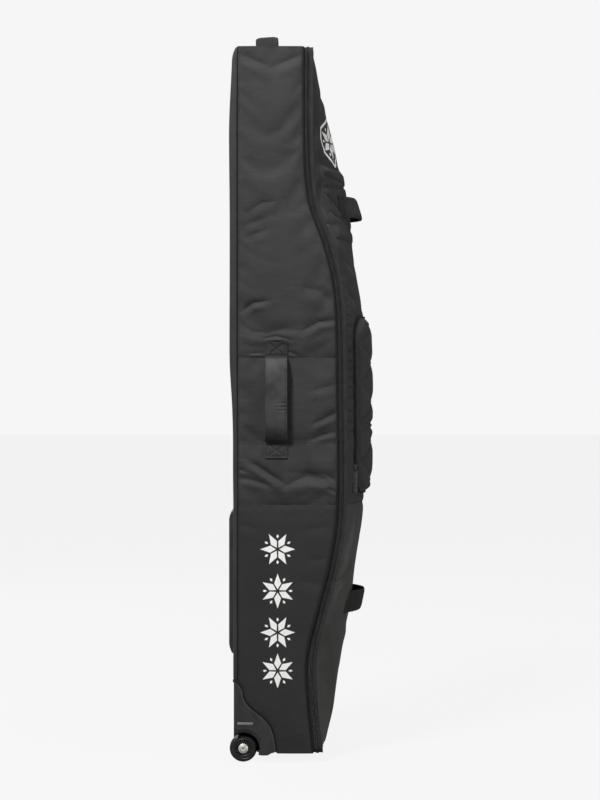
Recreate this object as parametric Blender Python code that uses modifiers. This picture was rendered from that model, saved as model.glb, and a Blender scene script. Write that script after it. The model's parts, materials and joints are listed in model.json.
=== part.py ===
"""Wheeled snowboard bag, standing on its wheel end.

+Z is up, along the bag. +X points out of the lid and Y runs across the bag, so the back panel with the
skid plate faces -X. The origin is on the floor, at the middle of the bag's footprint. Left is -Y.
"""
import math

import bmesh
import bpy
from mathutils import Matrix, Vector

# Driving dimensions, in metres
WIDTH = 0.330  # across the bag, outside the side panels
BACK_X = -0.165  # outer face of the back panel
BASE_Z = 0.021  # underside of the bottom end panel
TOP_Z = 1.684  # outer face of the top end panel
SKIN = 0.004  # padded fabric
GAP = 0.0004  # between touching pieces
BACK_CORNER = 0.011  # radius of the long back corners
BACK_SEAM_X = BACK_X + BACK_CORNER + 0.004  # where the back panel meets the side panels
END_CORNER = 0.030  # radius of the zipper's four corners
HALF = WIDTH / 2

# Front edge of a side panel: (height, x), shallow at both ends and deep in the middle
FRONT_EDGE = (
    (0.021, 0.029), (0.140, 0.017), (0.246, 0.014), (0.363, 0.041), (0.469, 0.068), (0.589, 0.085),
    (0.890, 0.085), (1.099, 0.079), (1.214, 0.055), (1.324, 0.017), (1.450, 0.007), (1.684, 0.006),
)
# Highest line of the lid, at the middle of its width: (height, x)
LID_CREST = (
    (0.021, 0.061), (0.164, 0.088), (0.340, 0.118), (0.476, 0.136), (0.632, 0.152), (1.062, 0.150),
    (1.218, 0.127), (1.394, 0.099), (1.511, 0.073), (1.684, 0.027),
)
BAND = 0.0195  # zipper band, from the side panel to the lid
LID_INSET = 0.0024  # the lid's edge lies inside the zipper band
LID_ROUNDNESS = 1.8  # power of the lid's arch across its width
LID_END_ROUNDING = 40  # power of the lid's fall to its two ends
SIDE_SEAMS = (0.605, 0.951)  # between the lower, middle and upper side sections
LID_SEAMS = (0.605, 1.267)

# Zipper
COIL_RADIUS = 0.0013
TAPE_THICKNESS = 0.0015
BAG_TAPE = (0.0030, 0.0098)  # from the front edge, in x
LID_TAPE = (0.0102, 0.0190)
BAG_COIL_X = 0.0083
LID_COIL_X = 0.0117
HINGE_STRIP = (0.0030, 0.0170)
SLIDER_PLATE = 0.0030
SLIDER_LENGTH = 0.015
SLIDER_SPACING = 0.0105  # of each main slider from the bag's middle

# Front pocket on the lid
POCKET_Z = (0.630, 1.052)
POCKET_HALF = 0.130
POCKET_CORNER = 0.055
POCKET_EDGE_DEPTH = 0.011
POCKET_CROWN = 0.0053
POCKET_ZIP_X = 0.1285

# Handles and loops, all of the same webbing
WEBBING = 0.052
WEBBING_THICKNESS = 0.003
HANDLE_X = -0.058
HANDLE_Z = (0.716, 0.993)
HANDLE_LIFT = 0.024
GRIP_Z = (0.780, 0.928)
TOP_HANDLE_X = -0.082
TOP_HANDLE_LIFT = 0.0505
TOP_HANDLE_HALF = 0.115
LOOP_HALF = 0.090
LOOP_LIFT = 0.026
UPPER_LOOP_Z = 1.316
LOWER_LOOP_Z = 0.384
PATCH_Z = (1.235, 1.405)
PATCH_THICKNESS = 0.0012

# Skid plate
SKID_Z = (0.253, 0.589)
SKID_HALF = 0.140
SKID_BASE = 0.0025
SKID_RIB = 0.0030
SKID_RIBS = 5
RIVET_RADIUS = 0.0055

# Wheel end
WHEEL_X = -0.136
WHEEL_RADIUS = 0.032
WHEEL_WIDTH = 0.024
WHEEL_OUTER_Y = 0.1615
ARCH_RADIUS = 0.0385
HOUSING_Y = (0.098, 0.170)
HOUSING_WALL = 0.004
HOUSING_BACK_X = -0.162
HOUSING_TOP_Z = 0.192
# Upper and front contour of a wheel housing, in x and z
HOUSING_CONTOUR = (
    (-0.159, 0.192), (-0.149, 0.184), (-0.140, 0.172), (-0.135, 0.150), (-0.126, 0.134), (-0.106, 0.117),
    (-0.089, 0.103), (-0.072, 0.081), (-0.064, 0.055), (-0.059, 0.024),
)
HOUSING_FOOT = ((-0.073, 0.022), (-0.077, 0.0165), (-0.097, 0.0165), (-0.136, 0.032), (-0.153, 0.068))
BEARING_RADIUS = 0.011
BEARING_BORE = 0.004
BEARING_WIDTH = 0.007
HUB_RADIUS = 0.0192
AXLE_CAP_RADIUS = 0.0115
RUNNING = 0.0003


def smooth(stations, height):
    """Value at a height on the smooth curve through (height, value) stations."""
    height = min(max(height, stations[0][0]), stations[-1][0])
    last = len(stations) - 1
    i = max(k for k in range(last) if stations[k][0] <= height)

    def slope(k):
        low, high = max(k - 1, 0), min(k + 1, last)
        return (stations[high][1] - stations[low][1]) / (stations[high][0] - stations[low][0])

    (z0, a), (z1, b) = stations[i], stations[i + 1]
    span = z1 - z0
    t = (height - z0) / span
    hermite = (2 * t**3 - 3 * t**2 + 1) * a + (3 * t**2 - 2 * t**3) * b
    return hermite + (t**3 - 2 * t**2 + t) * span * slope(i) + (t**3 - t**2) * span * slope(i + 1)


def front_edge(z):
    return smooth(FRONT_EDGE, z)


def lid_x(y, z):
    """Outer face of the lid."""
    edge = front_edge(z) + BAND
    crown = max(smooth(LID_CREST, z) - edge, 0.0)
    across = 1 - min(abs(y / HALF), 1.0) ** LID_ROUNDNESS
    middle = (TOP_Z + BASE_Z) / 2
    along = 1 - min(abs((z - middle) / (TOP_Z - middle)), 1.0) ** LID_END_ROUNDING
    return edge + crown * across * along


def pocket_x(y, z):
    """Outer face of the quilted pocket panel."""
    across = 1 - (y / POCKET_HALF) ** 2
    middle = sum(POCKET_Z) / 2
    along = 1 - ((z - middle) / (POCKET_Z[1] - middle)) ** 4
    return lid_x(y, z) + POCKET_EDGE_DEPTH + POCKET_CROWN * across * along


def between(low, high, count):
    """Evenly spaced values, both ends included."""
    return [low + (high - low) * i / (count - 1) for i in range(count)]


def arc(centre, radius, start, stop, count):
    """Points on a circle, angles in degrees."""
    angles = [math.radians(a) for a in between(start, stop, count)]
    return [(centre[0] + radius * math.cos(a), centre[1] + radius * math.sin(a)) for a in angles]


# Scene set-up


def clear_scene():
    for item in list(bpy.data.objects):
        bpy.data.objects.remove(item, do_unlink=True)


def new_collection(name):
    group = bpy.data.collections.new(name)
    bpy.context.scene.collection.children.link(group)
    return group


clear_scene()
BAG = new_collection("snowboard_bag")
CUTTERS = new_collection("cutters")


def material(name, colour, roughness, metallic=0.0):
    made = bpy.data.materials.new(name)
    made.use_nodes = True
    shader = made.node_tree.nodes["Principled BSDF"]
    shader.inputs["Base Color"].default_value = (*colour, 1.0)
    shader.inputs["Roughness"].default_value = roughness
    shader.inputs["Metallic"].default_value = metallic
    return made


WEAVE = material("woven_polyester", (0.062, 0.060, 0.061), 0.85)
COATED = material("coated_fabric", (0.030, 0.030, 0.029), 0.60)
LINING = material("lining", (0.10, 0.10, 0.11), 0.90)
BOARD = material("stiffener_board", (0.05, 0.05, 0.05), 0.60)
TAPE = material("zipper_tape", (0.022, 0.022, 0.022), 0.85)
STRAP = material("webbing", (0.020, 0.020, 0.020), 0.80)
GRIP = material("grip_leather", (0.030, 0.029, 0.028), 0.55)
COIL = material("zipper_coil", (0.015, 0.015, 0.015), 0.45)
PLASTIC = material("moulded_plastic", (0.020, 0.020, 0.021), 0.55)
TYRE = material("wheel_tyre", (0.012, 0.012, 0.012), 0.50)
STEEL = material("bearing_steel", (0.55, 0.54, 0.52), 0.30, 1.0)
SLIDER = material("black_metal", (0.03, 0.03, 0.03), 0.35, 0.8)


# Modelling tools


def place(name, data, look, group=BAG):
    item = bpy.data.objects.new(name, data)
    data.materials.append(look)
    group.objects.link(item)
    return item


def solidify(item, thickness, offset):
    shell = item.modifiers.new("thickness", "SOLIDIFY")
    shell.thickness = thickness
    shell.offset = offset


def sheet(name, look, size, point, thickness, offset=-1.0):
    """A grid of size (u, v) cells, bent by point(u, v) with u and v from 0 to 1, and thickened."""
    bm = bmesh.new()
    bmesh.ops.create_grid(bm, x_segments=size[0], y_segments=size[1], size=0.5)
    for vert in bm.verts:
        vert.co = point(vert.co.x + 0.5, vert.co.y + 0.5)
    mesh = bpy.data.meshes.new(name)
    bm.to_mesh(mesh)
    bm.free()
    item = place(name, mesh, look)
    solidify(item, thickness, offset)
    return item


def ribbon(name, look, path, step, thickness, offset=-1.0):
    """A strip with its one edge on the path and the other a step away."""
    last = len(path) - 1

    def point(u, v):
        return Vector(path[round(u * last)]) + Vector(step) * v

    return sheet(name, look, (last, 1), point, thickness, offset)


def tube(name, look, path, radius, resolution=1):
    """A straight-sided round cord along a path, with flat ends."""
    curve = bpy.data.curves.new(name, "CURVE")
    curve.dimensions = "3D"
    curve.bevel_depth = radius
    curve.bevel_resolution = resolution
    curve.use_fill_caps = True
    line = curve.splines.new("POLY")
    line.points.add(len(path) - 1)
    for knot, where in zip(line.points, path):
        knot.co = (*where, 1.0)
    return place(name, curve, look)


def flat(name, look, outlines, thickness, group=BAG):
    """A flat plate in the object's own XY plane, centred on it. Later outlines are holes."""
    curve = bpy.data.curves.new(name, "CURVE")
    curve.dimensions = "2D"
    curve.fill_mode = "BOTH"
    curve.extrude = thickness / 2
    for outline in outlines:
        line = curve.splines.new("POLY")
        line.points.add(len(outline) - 1)
        line.use_cyclic_u = True
        for knot, where in zip(line.points, outline):
            knot.co = (*where, 0.0, 1.0)
    return place(name, curve, look, group)


def side_plate(name, look, outline, y_low, y_high, group=BAG):
    """A plate parallel to the side of the bag, its outline in x and z."""
    item = flat(name, look, [outline], y_high - y_low, group)
    item.rotation_euler = (math.pi / 2, 0, 0)
    item.location = (0, (y_low + y_high) / 2, 0)
    return item


def level_plate(name, look, outline, z_low, z_high):
    """A level plate, its outline in x and y."""
    item = flat(name, look, [outline], z_high - z_low)
    item.location = (0, 0, (z_low + z_high) / 2)
    return item


def as_mesh(item):
    """Turns a curve object into a mesh object with welded caps."""
    bpy.context.view_layer.update()
    graph = bpy.context.evaluated_depsgraph_get()
    mesh = bpy.data.meshes.new_from_object(item.evaluated_get(graph))
    bm = bmesh.new()
    bm.from_mesh(mesh)
    bmesh.ops.remove_doubles(bm, verts=bm.verts, dist=1e-6)
    bmesh.ops.recalc_face_normals(bm, faces=bm.faces)
    bm.to_mesh(mesh)
    bm.free()
    solid = bpy.data.objects.new(item.name, mesh)
    solid.matrix_world = item.matrix_world.copy()
    item.users_collection[0].objects.link(solid)
    name = item.name
    bpy.data.objects.remove(item, do_unlink=True)
    solid.name = name
    return solid


def cylinder(name, look, radius, y_low, y_high, centre, sides=32, group=BAG):
    """A round bar along Y. Its centre is in x and z."""
    bm = bmesh.new()
    bmesh.ops.create_cone(
        bm, cap_ends=True, segments=sides, radius1=radius, radius2=radius, depth=y_high - y_low
    )
    mesh = bpy.data.meshes.new(name)
    bm.to_mesh(mesh)
    bm.free()
    item = place(name, mesh, look, group)
    item.rotation_euler = (math.pi / 2, 0, 0)
    item.location = (centre[0], (y_low + y_high) / 2, centre[1])
    return item


def box(name, look, low, high, group=BAG):
    bm = bmesh.new()
    bmesh.ops.create_cube(bm, size=1.0)
    size = Vector(high) - Vector(low)
    bmesh.ops.scale(bm, vec=size, verts=bm.verts)
    mesh = bpy.data.meshes.new(name)
    bm.to_mesh(mesh)
    bm.free()
    item = place(name, mesh, look, group)
    item.location = (Vector(low) + Vector(high)) / 2
    return item


def combine(item, other, operation="DIFFERENCE"):
    """Cuts or joins, and keeps the other object only as a guide."""
    other.display_type = "WIRE"
    other.hide_render = True
    step = item.modifiers.new(operation.lower(), "BOOLEAN")
    step.operation = operation
    step.object = other
    step.solver = "EXACT"


def turned(name, look, profile, side, steps=28):
    """A ring or disc turned about Y. The profile is (radius, distance outwards from the bag's middle)."""
    mesh = bpy.data.meshes.new(name)
    bm = bmesh.new()
    verts = [bm.verts.new((radius, 0, height)) for radius, height in profile]
    on_axis = profile[0][0] < 1e-6
    pairs = list(zip(verts, verts[1:])) if on_axis else list(zip(verts, verts[1:] + verts[:1]))
    for pair in pairs:
        bm.edges.new(pair)
    bm.to_mesh(mesh)
    bm.free()
    item = place(name, mesh, look)
    screw = item.modifiers.new("turn", "SCREW")
    screw.axis = "Z"
    screw.steps = steps
    screw.render_steps = steps
    screw.use_merge_vertices = True
    screw.merge_threshold = 0.00005
    item.rotation_euler = (math.pi / 2 if side < 0 else -math.pi / 2, 0, 0)
    item.location = (WHEEL_X, 0, WHEEL_RADIUS)
    return item


# Bag body


def side_name(side):
    return "left" if side < 0 else "right"


def outward(side, depth_out, depth_in):
    """Y range of a layer that lies between two distances from the bag's middle."""
    return sorted((side * depth_out, side * depth_in))


def make_back_panel():
    """Flat back that wraps round both long corners, above the wheel housings."""
    corner = arc((BACK_X + BACK_CORNER, HALF - BACK_CORNER), BACK_CORNER, 90, 180, 6)
    right = [(BACK_SEAM_X, HALF)] + corner
    left = [(x, -y) for x, y in reversed(right)]
    path = [(x, y, HOUSING_TOP_Z + 2 * GAP) for x, y in right + left]
    ribbon("back_panel", WEAVE, path, (0, 0, TOP_Z - HOUSING_TOP_Z - 2 * GAP), SKIN)
    box("lower_back_panel", COATED, (BACK_X, -HOUSING_Y[0] + GAP, BASE_Z),
        (BACK_X + SKIN, HOUSING_Y[0] - GAP, HOUSING_TOP_Z))


def section_outline(z_low, z_high, back_x, inset=0.0, count=12):
    front = [(front_edge(z) - inset, z) for z in between(z_low, z_high, count)]
    return [(back_x, z_low)] + front + [(back_x, z_high)]


def lower_outline(z_high, back_x):
    """The lower side section, cut away along the wheel housing."""
    contour = [(x + 2 * GAP, z + 2 * GAP) for x, z in HOUSING_CONTOUR[1:-1]]
    foot_x = HOUSING_CONTOUR[-1][0] + 2 * GAP
    front = [(front_edge(z), z) for z in between(BASE_Z, z_high, 12)]
    return [(back_x, z_high), (back_x, contour[0][1])] + contour + [(foot_x, BASE_Z)] + front


def make_side(side):
    name = side_name(side)
    y_low, y_high = outward(side, HALF, HALF - SKIN)
    back_x = BACK_SEAM_X + GAP
    low_seam, high_seam = SIDE_SEAMS
    side_plate(f"{name}_lower_side_panel", COATED, lower_outline(low_seam - GAP, back_x), y_low, y_high)
    middle = section_outline(low_seam, high_seam - GAP, back_x)
    side_plate(f"{name}_middle_side_panel", WEAVE, middle, y_low, y_high)
    upper = section_outline(high_seam, TOP_Z, back_x, count=16)
    side_plate(f"{name}_upper_side_panel", WEAVE, upper, y_low, y_high)
    pad = section_outline(0.200, TOP_Z - 0.010, BACK_X + 0.010, inset=0.004, count=26)
    pad_low, pad_high = outward(side, HALF - SKIN - GAP, HALF - SKIN - 0.005)
    side_plate(f"{name}_side_padding", LINING, pad, pad_low, pad_high)


def make_piping(side):
    name = side_name(side)
    radius = 0.002
    y = side * (HALF + radius + GAP)
    ends = (HOUSING_TOP_Z + 0.004, TOP_Z)
    tube(f"{name}_back_piping", TAPE, [(BACK_SEAM_X, y, z) for z in ends], radius)
    heights = between(BASE_Z + 0.002, TOP_Z, 34)
    tube(f"{name}_front_piping", TAPE, [(front_edge(z) - radius / 2, y, z) for z in heights], radius)


def make_ends():
    """End panels, between the side panels. The lower one is narrower between the wheel housings."""
    half = HALF - SKIN - GAP
    back = BACK_X + SKIN + GAP
    cut = BACK_CORNER
    top = [(front_edge(TOP_Z) - GAP, -half), (front_edge(TOP_Z) - GAP, half)]
    top += [(back + cut, half), (back, half - cut), (back, -half + cut), (back + cut, -half)]
    level_plate("top_end_panel", WEAVE, top, TOP_Z - SKIN, TOP_Z)
    neck = HOUSING_Y[0] - GAP
    foot_x = HOUSING_CONTOUR[-1][0] + 2 * GAP
    bottom = [(front_edge(BASE_Z) - GAP, -half), (front_edge(BASE_Z) - GAP, half), (foot_x, half)]
    bottom += [(foot_x, neck), (back, neck), (back, -neck), (foot_x, -neck), (foot_x, -half)]
    level_plate("bottom_end_panel", COATED, bottom, BASE_Z, BASE_Z + SKIN)


def make_stiffener():
    low = (BACK_X + SKIN + GAP, -HALF + 0.022, HOUSING_TOP_Z + 0.008)
    box("back_stiffener_board", BOARD, low, (low[0] + 0.0025, HALF - 0.022, TOP_Z - 0.008))


# Zipper band round the lid


def zip_path(offset):
    """Round the bottom end, up the left side and round the top end: (y, z) points."""
    radius = END_CORNER + offset
    flank = HALF - END_CORNER
    low, high = BASE_Z + END_CORNER, TOP_Z - END_CORNER
    path = [(flank, BASE_Z - offset)] + arc((-flank, low), radius, -90, -180, 5)
    path += [(-HALF - offset, z) for z in between(low, high, 30)[1:-1]]
    return path + arc((-flank, high), radius, 180, 90, 5) + [(flank, TOP_Z + offset)]


def hinge_path(offset):
    """Down the right side with both its corners, which the zipper leaves out."""
    radius = END_CORNER + offset
    flank = HALF - END_CORNER
    low, high = BASE_Z + END_CORNER, TOP_Z - END_CORNER
    path = arc((flank, high), radius, 88, 0, 5)
    path += [(HALF + offset, z) for z in between(high, low, 30)[1:-1]]
    return path + arc((flank, low), radius, 0, -88, 5)


def band_strip(name, look, path, limits):
    last = len(path) - 1

    def point(u, v):
        y, z = path[round(u * last)]
        return Vector((front_edge(z) + limits[1] + (limits[0] - limits[1]) * v, y, z))

    return sheet(name, look, (last, 1), point, TAPE_THICKNESS)


def make_zipper():
    band_strip("zipper_tape_bag", TAPE, zip_path(0.0), BAG_TAPE)
    band_strip("zipper_tape_lid", TAPE, zip_path(0.0), LID_TAPE)
    band_strip("hinge_strip", TAPE, hinge_path(0.0), HINGE_STRIP)
    coil = zip_path(COIL_RADIUS + GAP)
    tube("zipper_coil_bag", COIL, [(front_edge(z) + BAG_COIL_X, y, z) for y, z in coil], COIL_RADIUS)
    tube("zipper_coil_lid", COIL, [(front_edge(z) + LID_COIL_X, y, z) for y, z in coil], COIL_RADIUS)


# Sliders: the slider runs along its own Y, the tab points along +Y and turns about X

BRIDGE_HALF = 0.0058
BRIDGE_WIDTH = 0.0030
BRIDGE_WALL = 0.0014
TUNNEL = 0.0030
PIVOT_Y = 0.0020
PIVOT_Z = SLIDER_PLATE + TUNNEL / 2
BAR = 0.0016
EYE_HALF = 0.0045


def make_slider(name, frame):
    """Tapered slider body with a bridge for its tab."""
    long, wide = SLIDER_LENGTH / 2, 0.0055
    outline = [(-wide, -long + 0.004), (-wide * 0.6, -long), (wide * 0.6, -long), (wide, -long + 0.004)]
    outline += [(wide * 0.8, long), (-wide * 0.8, long)]
    plate = flat(name, SLIDER, [outline], SLIDER_PLATE)
    plate.location = (0, 0, SLIDER_PLATE / 2)
    body = as_mesh(plate)
    high = SLIDER_PLATE + TUNNEL + BRIDGE_WALL
    bridge = box(f"{name}_bridge", SLIDER, (-BRIDGE_WIDTH / 2, -BRIDGE_HALF, SLIDER_PLATE / 2),
                 (BRIDGE_WIDTH / 2, BRIDGE_HALF, high), CUTTERS)
    tunnel = box(f"{name}_tunnel", SLIDER, (-0.01, -BRIDGE_HALF + BRIDGE_WALL, SLIDER_PLATE),
                 (0.01, BRIDGE_HALF - BRIDGE_WALL, SLIDER_PLATE + TUNNEL), CUTTERS)
    for item in (body, bridge, tunnel):
        item.matrix_world = frame @ item.matrix_basis
    combine(body, bridge, "UNION")
    combine(body, tunnel)


def make_tab(name, frame, length, width):
    """Pull tab: an eye round the slider's bridge, a narrow neck and a rounded grip."""
    eye = 0.0095
    half = width / 2
    neck = [(-EYE_HALF, -BAR / 2), (EYE_HALF, -BAR / 2), (EYE_HALF, eye), (half, eye + 0.005)]
    tip = arc((0, length - half), half, 0, 180, 9)
    outline = neck + tip + [(-half, eye + 0.005), (-EYE_HALF, eye)]
    inner = EYE_HALF - BAR
    hole = [(-inner, BAR / 2), (inner, BAR / 2), (inner, eye - BAR), (-inner, eye - BAR)]
    tab = flat(name, SLIDER, [outline, hole], BAR)
    tab.matrix_world = frame @ Matrix.Translation((0, PIVOT_Y, PIVOT_Z))


def axes_frame(origin, x_axis, y_axis, z_axis):
    frame = Matrix((x_axis, y_axis, z_axis)).transposed().to_4x4()
    frame.translation = origin
    return frame


def make_main_sliders():
    """Two sliders that meet at the middle of the top end."""
    height = TOP_Z + 2 * COIL_RADIUS + 2 * GAP
    middle_x = front_edge(TOP_Z) + (BAG_COIL_X + LID_COIL_X) / 2
    for side in (-1, 1):
        origin = (middle_x, side * SLIDER_SPACING, height)
        frame = axes_frame(origin, (side, 0, 0), (0, side, 0), (0, 0, 1))
        make_slider(f"{side_name(side)}_main_slider", frame)
        make_tab(f"{side_name(side)}_main_pull_tab", frame, 0.042, 0.011)


# Lid


def half_width(z):
    """Half the lid's width, which the rounded corners narrow at both ends."""
    radius = END_CORNER - LID_INSET
    into = END_CORNER - min(z - BASE_Z, TOP_Z - z)
    if into <= 0:
        return HALF - LID_INSET
    return HALF - END_CORNER + math.sqrt(max(radius**2 - into**2, 0.0))


def corner_heights(end, direction):
    """Heights that step evenly round a rounded corner, from the lid's edge inwards."""
    radius = END_CORNER - LID_INSET
    return [end + direction * (LID_INSET + radius * (1 - math.cos(math.radians(a)))) for a in (0, 30, 60, 90)]


def lid_section(name, look, heights, inset, thickness, columns):
    rows = len(heights) - 1

    def point(u, v):
        z = heights[round(v * rows)]
        y = (2 * u - 1) * (half_width(z) - inset)
        return Vector((lid_x(y, z) - inset, y, z))

    return sheet(name, look, (columns, rows), point, thickness)


def make_lid():
    low_seam, high_seam = LID_SEAMS
    lower = corner_heights(BASE_Z, 1) + between(BASE_Z + END_CORNER, low_seam - GAP, 11)[1:]
    middle = between(low_seam + GAP, high_seam - GAP, 12)
    upper = between(high_seam + GAP, TOP_Z - END_CORNER, 8) + corner_heights(TOP_Z, -1)[-2::-1]
    lid_section("lid_lower_panel", COATED, lower, 0.0, SKIN, 12)
    lid_section("lid_middle_panel", WEAVE, middle, 0.0, SKIN, 12)
    lid_section("lid_upper_panel", WEAVE, upper, 0.0, SKIN, 12)
    lid_section("lid_lining", LINING, between(BASE_Z + 0.040, TOP_Z - 0.040, 24), 0.0090, 0.0015, 12)


def lid_strap(name, look, z_middle, width, half_length, lift, base, thickness, columns):
    """A strap across the lid, sewn down at both ends and lifted between them."""
    flat_end = 0.022

    def point(u, v):
        y = (2 * u - 1) * half_length
        z = z_middle + (v - 0.5) * width
        free = min(abs(y) / (half_length - flat_end), 1.0)
        rise = lift * (1 - free**3)
        follow = lid_x(y, z) if lift == 0 or free == 1 else lid_x(y, z_middle + (v - 0.5) * width)
        return Vector((follow + base + rise, y, z))

    return sheet(name, look, (columns, 3 if lift == 0 else 2), point, thickness, 1.0)


def make_loops():
    patch_middle = sum(PATCH_Z) / 2
    patch_tall = PATCH_Z[1] - PATCH_Z[0]
    lid_strap("upper_loop_patch", WEAVE, patch_middle, patch_tall, 0.120, 0.0, 2 * GAP, PATCH_THICKNESS, 12)
    base = 3 * GAP + PATCH_THICKNESS
    lid_strap("upper_front_loop", STRAP, UPPER_LOOP_Z, WEBBING, LOOP_HALF, LOOP_LIFT, base + GAP,
              WEBBING_THICKNESS, 22)
    lid_strap("lower_front_loop", STRAP, LOWER_LOOP_Z, WEBBING, LOOP_HALF, LOOP_LIFT, 2 * GAP,
              WEBBING_THICKNESS, 22)


# Pocket


def pocket_outline(inset=0.0, count=7):
    """Rounded rectangle in y and z, counter-clockwise seen from the front."""
    half, radius = POCKET_HALF - inset, POCKET_CORNER - inset
    low, high = POCKET_Z[0] + inset, POCKET_Z[1] - inset
    cy = half - radius
    path = arc((cy, low + radius), radius, -90, 0, count)
    path += [(half, z) for z in between(low + radius, high - radius, 8)[1:-1]]
    path += arc((cy, high - radius), radius, 0, 90, count)
    path += [(y, high) for y in between(cy, -cy, 6)[1:-1]]
    path += arc((-cy, high - radius), radius, 90, 180, count)
    path += [(-half, z) for z in between(high - radius, low + radius, 8)[1:-1]]
    path += arc((-cy, low + radius), radius, 180, 270, count)
    return path + [(y, low) for y in between(-cy, cy, 6)[1:-1]]


def make_pocket():
    panel_skin = 0.003

    def panel_point(u, v):
        y = (2 * u - 1) * POCKET_HALF
        z = POCKET_Z[0] + v * (POCKET_Z[1] - POCKET_Z[0])
        return Vector((pocket_x(y, z), y, z))

    panel = sheet("pocket_panel", WEAVE, (14, 14), panel_point, panel_skin)
    outline = [(y, z) for y, z in pocket_outline(0.0001)]
    prism = flat("pocket_trim", WEAVE, [outline], 0.2, CUTTERS)
    prism.matrix_world = axes_frame((0.15, 0, 0), (0, 1, 0), (0, 0, 1), (1, 0, 0))
    combine(panel, as_mesh(prism), "INTERSECT")

    ring = pocket_outline(0.0)
    ring.append(ring[0])
    last = len(ring) - 1

    def gusset_point(u, v):
        y, z = ring[round(u * last)]
        low = lid_x(y, z) + 3 * GAP
        high = pocket_x(y, z) - panel_skin - 2 * GAP
        return Vector((high + (low - high) * v, y, z))

    gusset = sheet("pocket_gusset", WEAVE, (last, 1), gusset_point, 0.0025, 1.0)
    close_ring(gusset)
    coil_y = -POCKET_HALF - COIL_RADIUS - GAP
    coil_z = (POCKET_Z[0] + POCKET_CORNER, POCKET_Z[1] - POCKET_CORNER)
    tube("pocket_zipper_coil", COIL, [(POCKET_ZIP_X, coil_y, z) for z in coil_z], COIL_RADIUS)
    origin = (POCKET_ZIP_X, coil_y - COIL_RADIUS - GAP, POCKET_Z[0] + POCKET_CORNER + 0.008)
    frame = axes_frame(origin, (-1, 0, 0), (0, 0, -1), (0, -1, 0))
    make_slider("pocket_slider", frame)
    make_tab("pocket_puller", frame, 0.060, 0.010)


def close_ring(item):
    """Welds the two ends of a strip that runs all the way round."""
    bm = bmesh.new()
    bm.from_mesh(item.data)
    bmesh.ops.remove_doubles(bm, verts=bm.verts, dist=1e-5)
    bm.to_mesh(item.data)
    bm.free()


# Handles


def lifted(fraction, lift):
    """Height of a sewn strap between its two flat ends, fraction from -1 to 1."""
    return lift * (1 - min(abs(fraction), 1.0) ** 4)


def make_side_handle(side):
    """Webbing with flat sewn ends and a proud middle, and a leather grip wrapped over it."""
    name = side_name(side)
    anchor = 0.036
    middle = sum(HANDLE_Z) / 2
    free = (HANDLE_Z[1] - HANDLE_Z[0]) / 2 - anchor
    x_low = HANDLE_X - WEBBING / 2
    surface = HALF + GAP

    def strap_y(z):
        return side * (surface + lifted((z - middle) / free, HANDLE_LIFT))

    ends = [HANDLE_Z[0], HANDLE_Z[0] + anchor * 0.6]
    heights = ends + between(middle - free, middle + free, 17) + [HANDLE_Z[1] - anchor * 0.6, HANDLE_Z[1]]
    path = [(x_low, strap_y(z), z) for z in heights]
    ribbon(f"{name}_handle_webbing", STRAP, path, (WEBBING, 0, 0), WEBBING_THICKNESS, side)
    low = surface + HANDLE_LIFT + WEBBING_THICKNESS + 2 * GAP
    grip_path = [(x_low - 0.001, side * low, z) for z in between(*GRIP_Z, 7)]
    ribbon(f"{name}_handle_grip", GRIP, grip_path, (WEBBING + 0.002, 0, 0), 0.004, side)


def make_top_handle():
    flat_end = 0.026
    x_low = TOP_HANDLE_X - WEBBING / 2
    free = TOP_HANDLE_HALF - flat_end

    def strap_z(y):
        return TOP_Z + GAP + lifted(y / free, TOP_HANDLE_LIFT - WEBBING_THICKNESS)

    across = [-TOP_HANDLE_HALF] + between(-free, free, 21) + [TOP_HANDLE_HALF]
    ribbon("top_grab_handle", STRAP, [(x_low, y, strap_z(y)) for y in across], (WEBBING, 0, 0),
           WEBBING_THICKNESS, -1.0)


# Skid plate


def make_skid_plate():
    """Plate with lengthwise runners, drawn as its section and pulled along the bag."""
    face = -SKID_BASE
    outline = [(0, -SKID_HALF), (face, -SKID_HALF + 0.002)]
    pitch = 2 * SKID_HALF / SKID_RIBS
    for i in range(SKID_RIBS):
        middle = -SKID_HALF + pitch * (i + 0.5)
        for step, out in ((-0.009, 0), (-0.006, SKID_RIB), (0.006, SKID_RIB), (0.009, 0)):
            outline.append((face - out, middle + step))
    outline += [(face, SKID_HALF - 0.002), (0, SKID_HALF)]
    plate = level_plate("skid_plate", PLASTIC, outline, *SKID_Z)
    plate.location.x = BACK_X - GAP
    rivets = [(y, z) for z in (SKID_Z[0] + 0.022, SKID_Z[1] - 0.022) for y in (-1.5 * pitch, 1.5 * pitch)]
    for number, (y, z) in enumerate(rivets, start=1):
        make_rivet(f"skid_rivet_{number}", y, z)


def make_rivet(name, y, z):
    """Domed rivet head on the plate, between two runners."""
    bm = bmesh.new()
    bmesh.ops.create_cone(bm, cap_ends=True, segments=12, radius1=RIVET_RADIUS, radius2=RIVET_RADIUS * 0.6,
                          depth=0.002)
    mesh = bpy.data.meshes.new(name)
    bm.to_mesh(mesh)
    bm.free()
    head = place(name, mesh, STEEL)
    head.rotation_euler = (0, -math.pi / 2, 0)
    head.location = (BACK_X - 2 * GAP - SKID_BASE - 0.001, y, z)


# Wheel end


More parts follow.
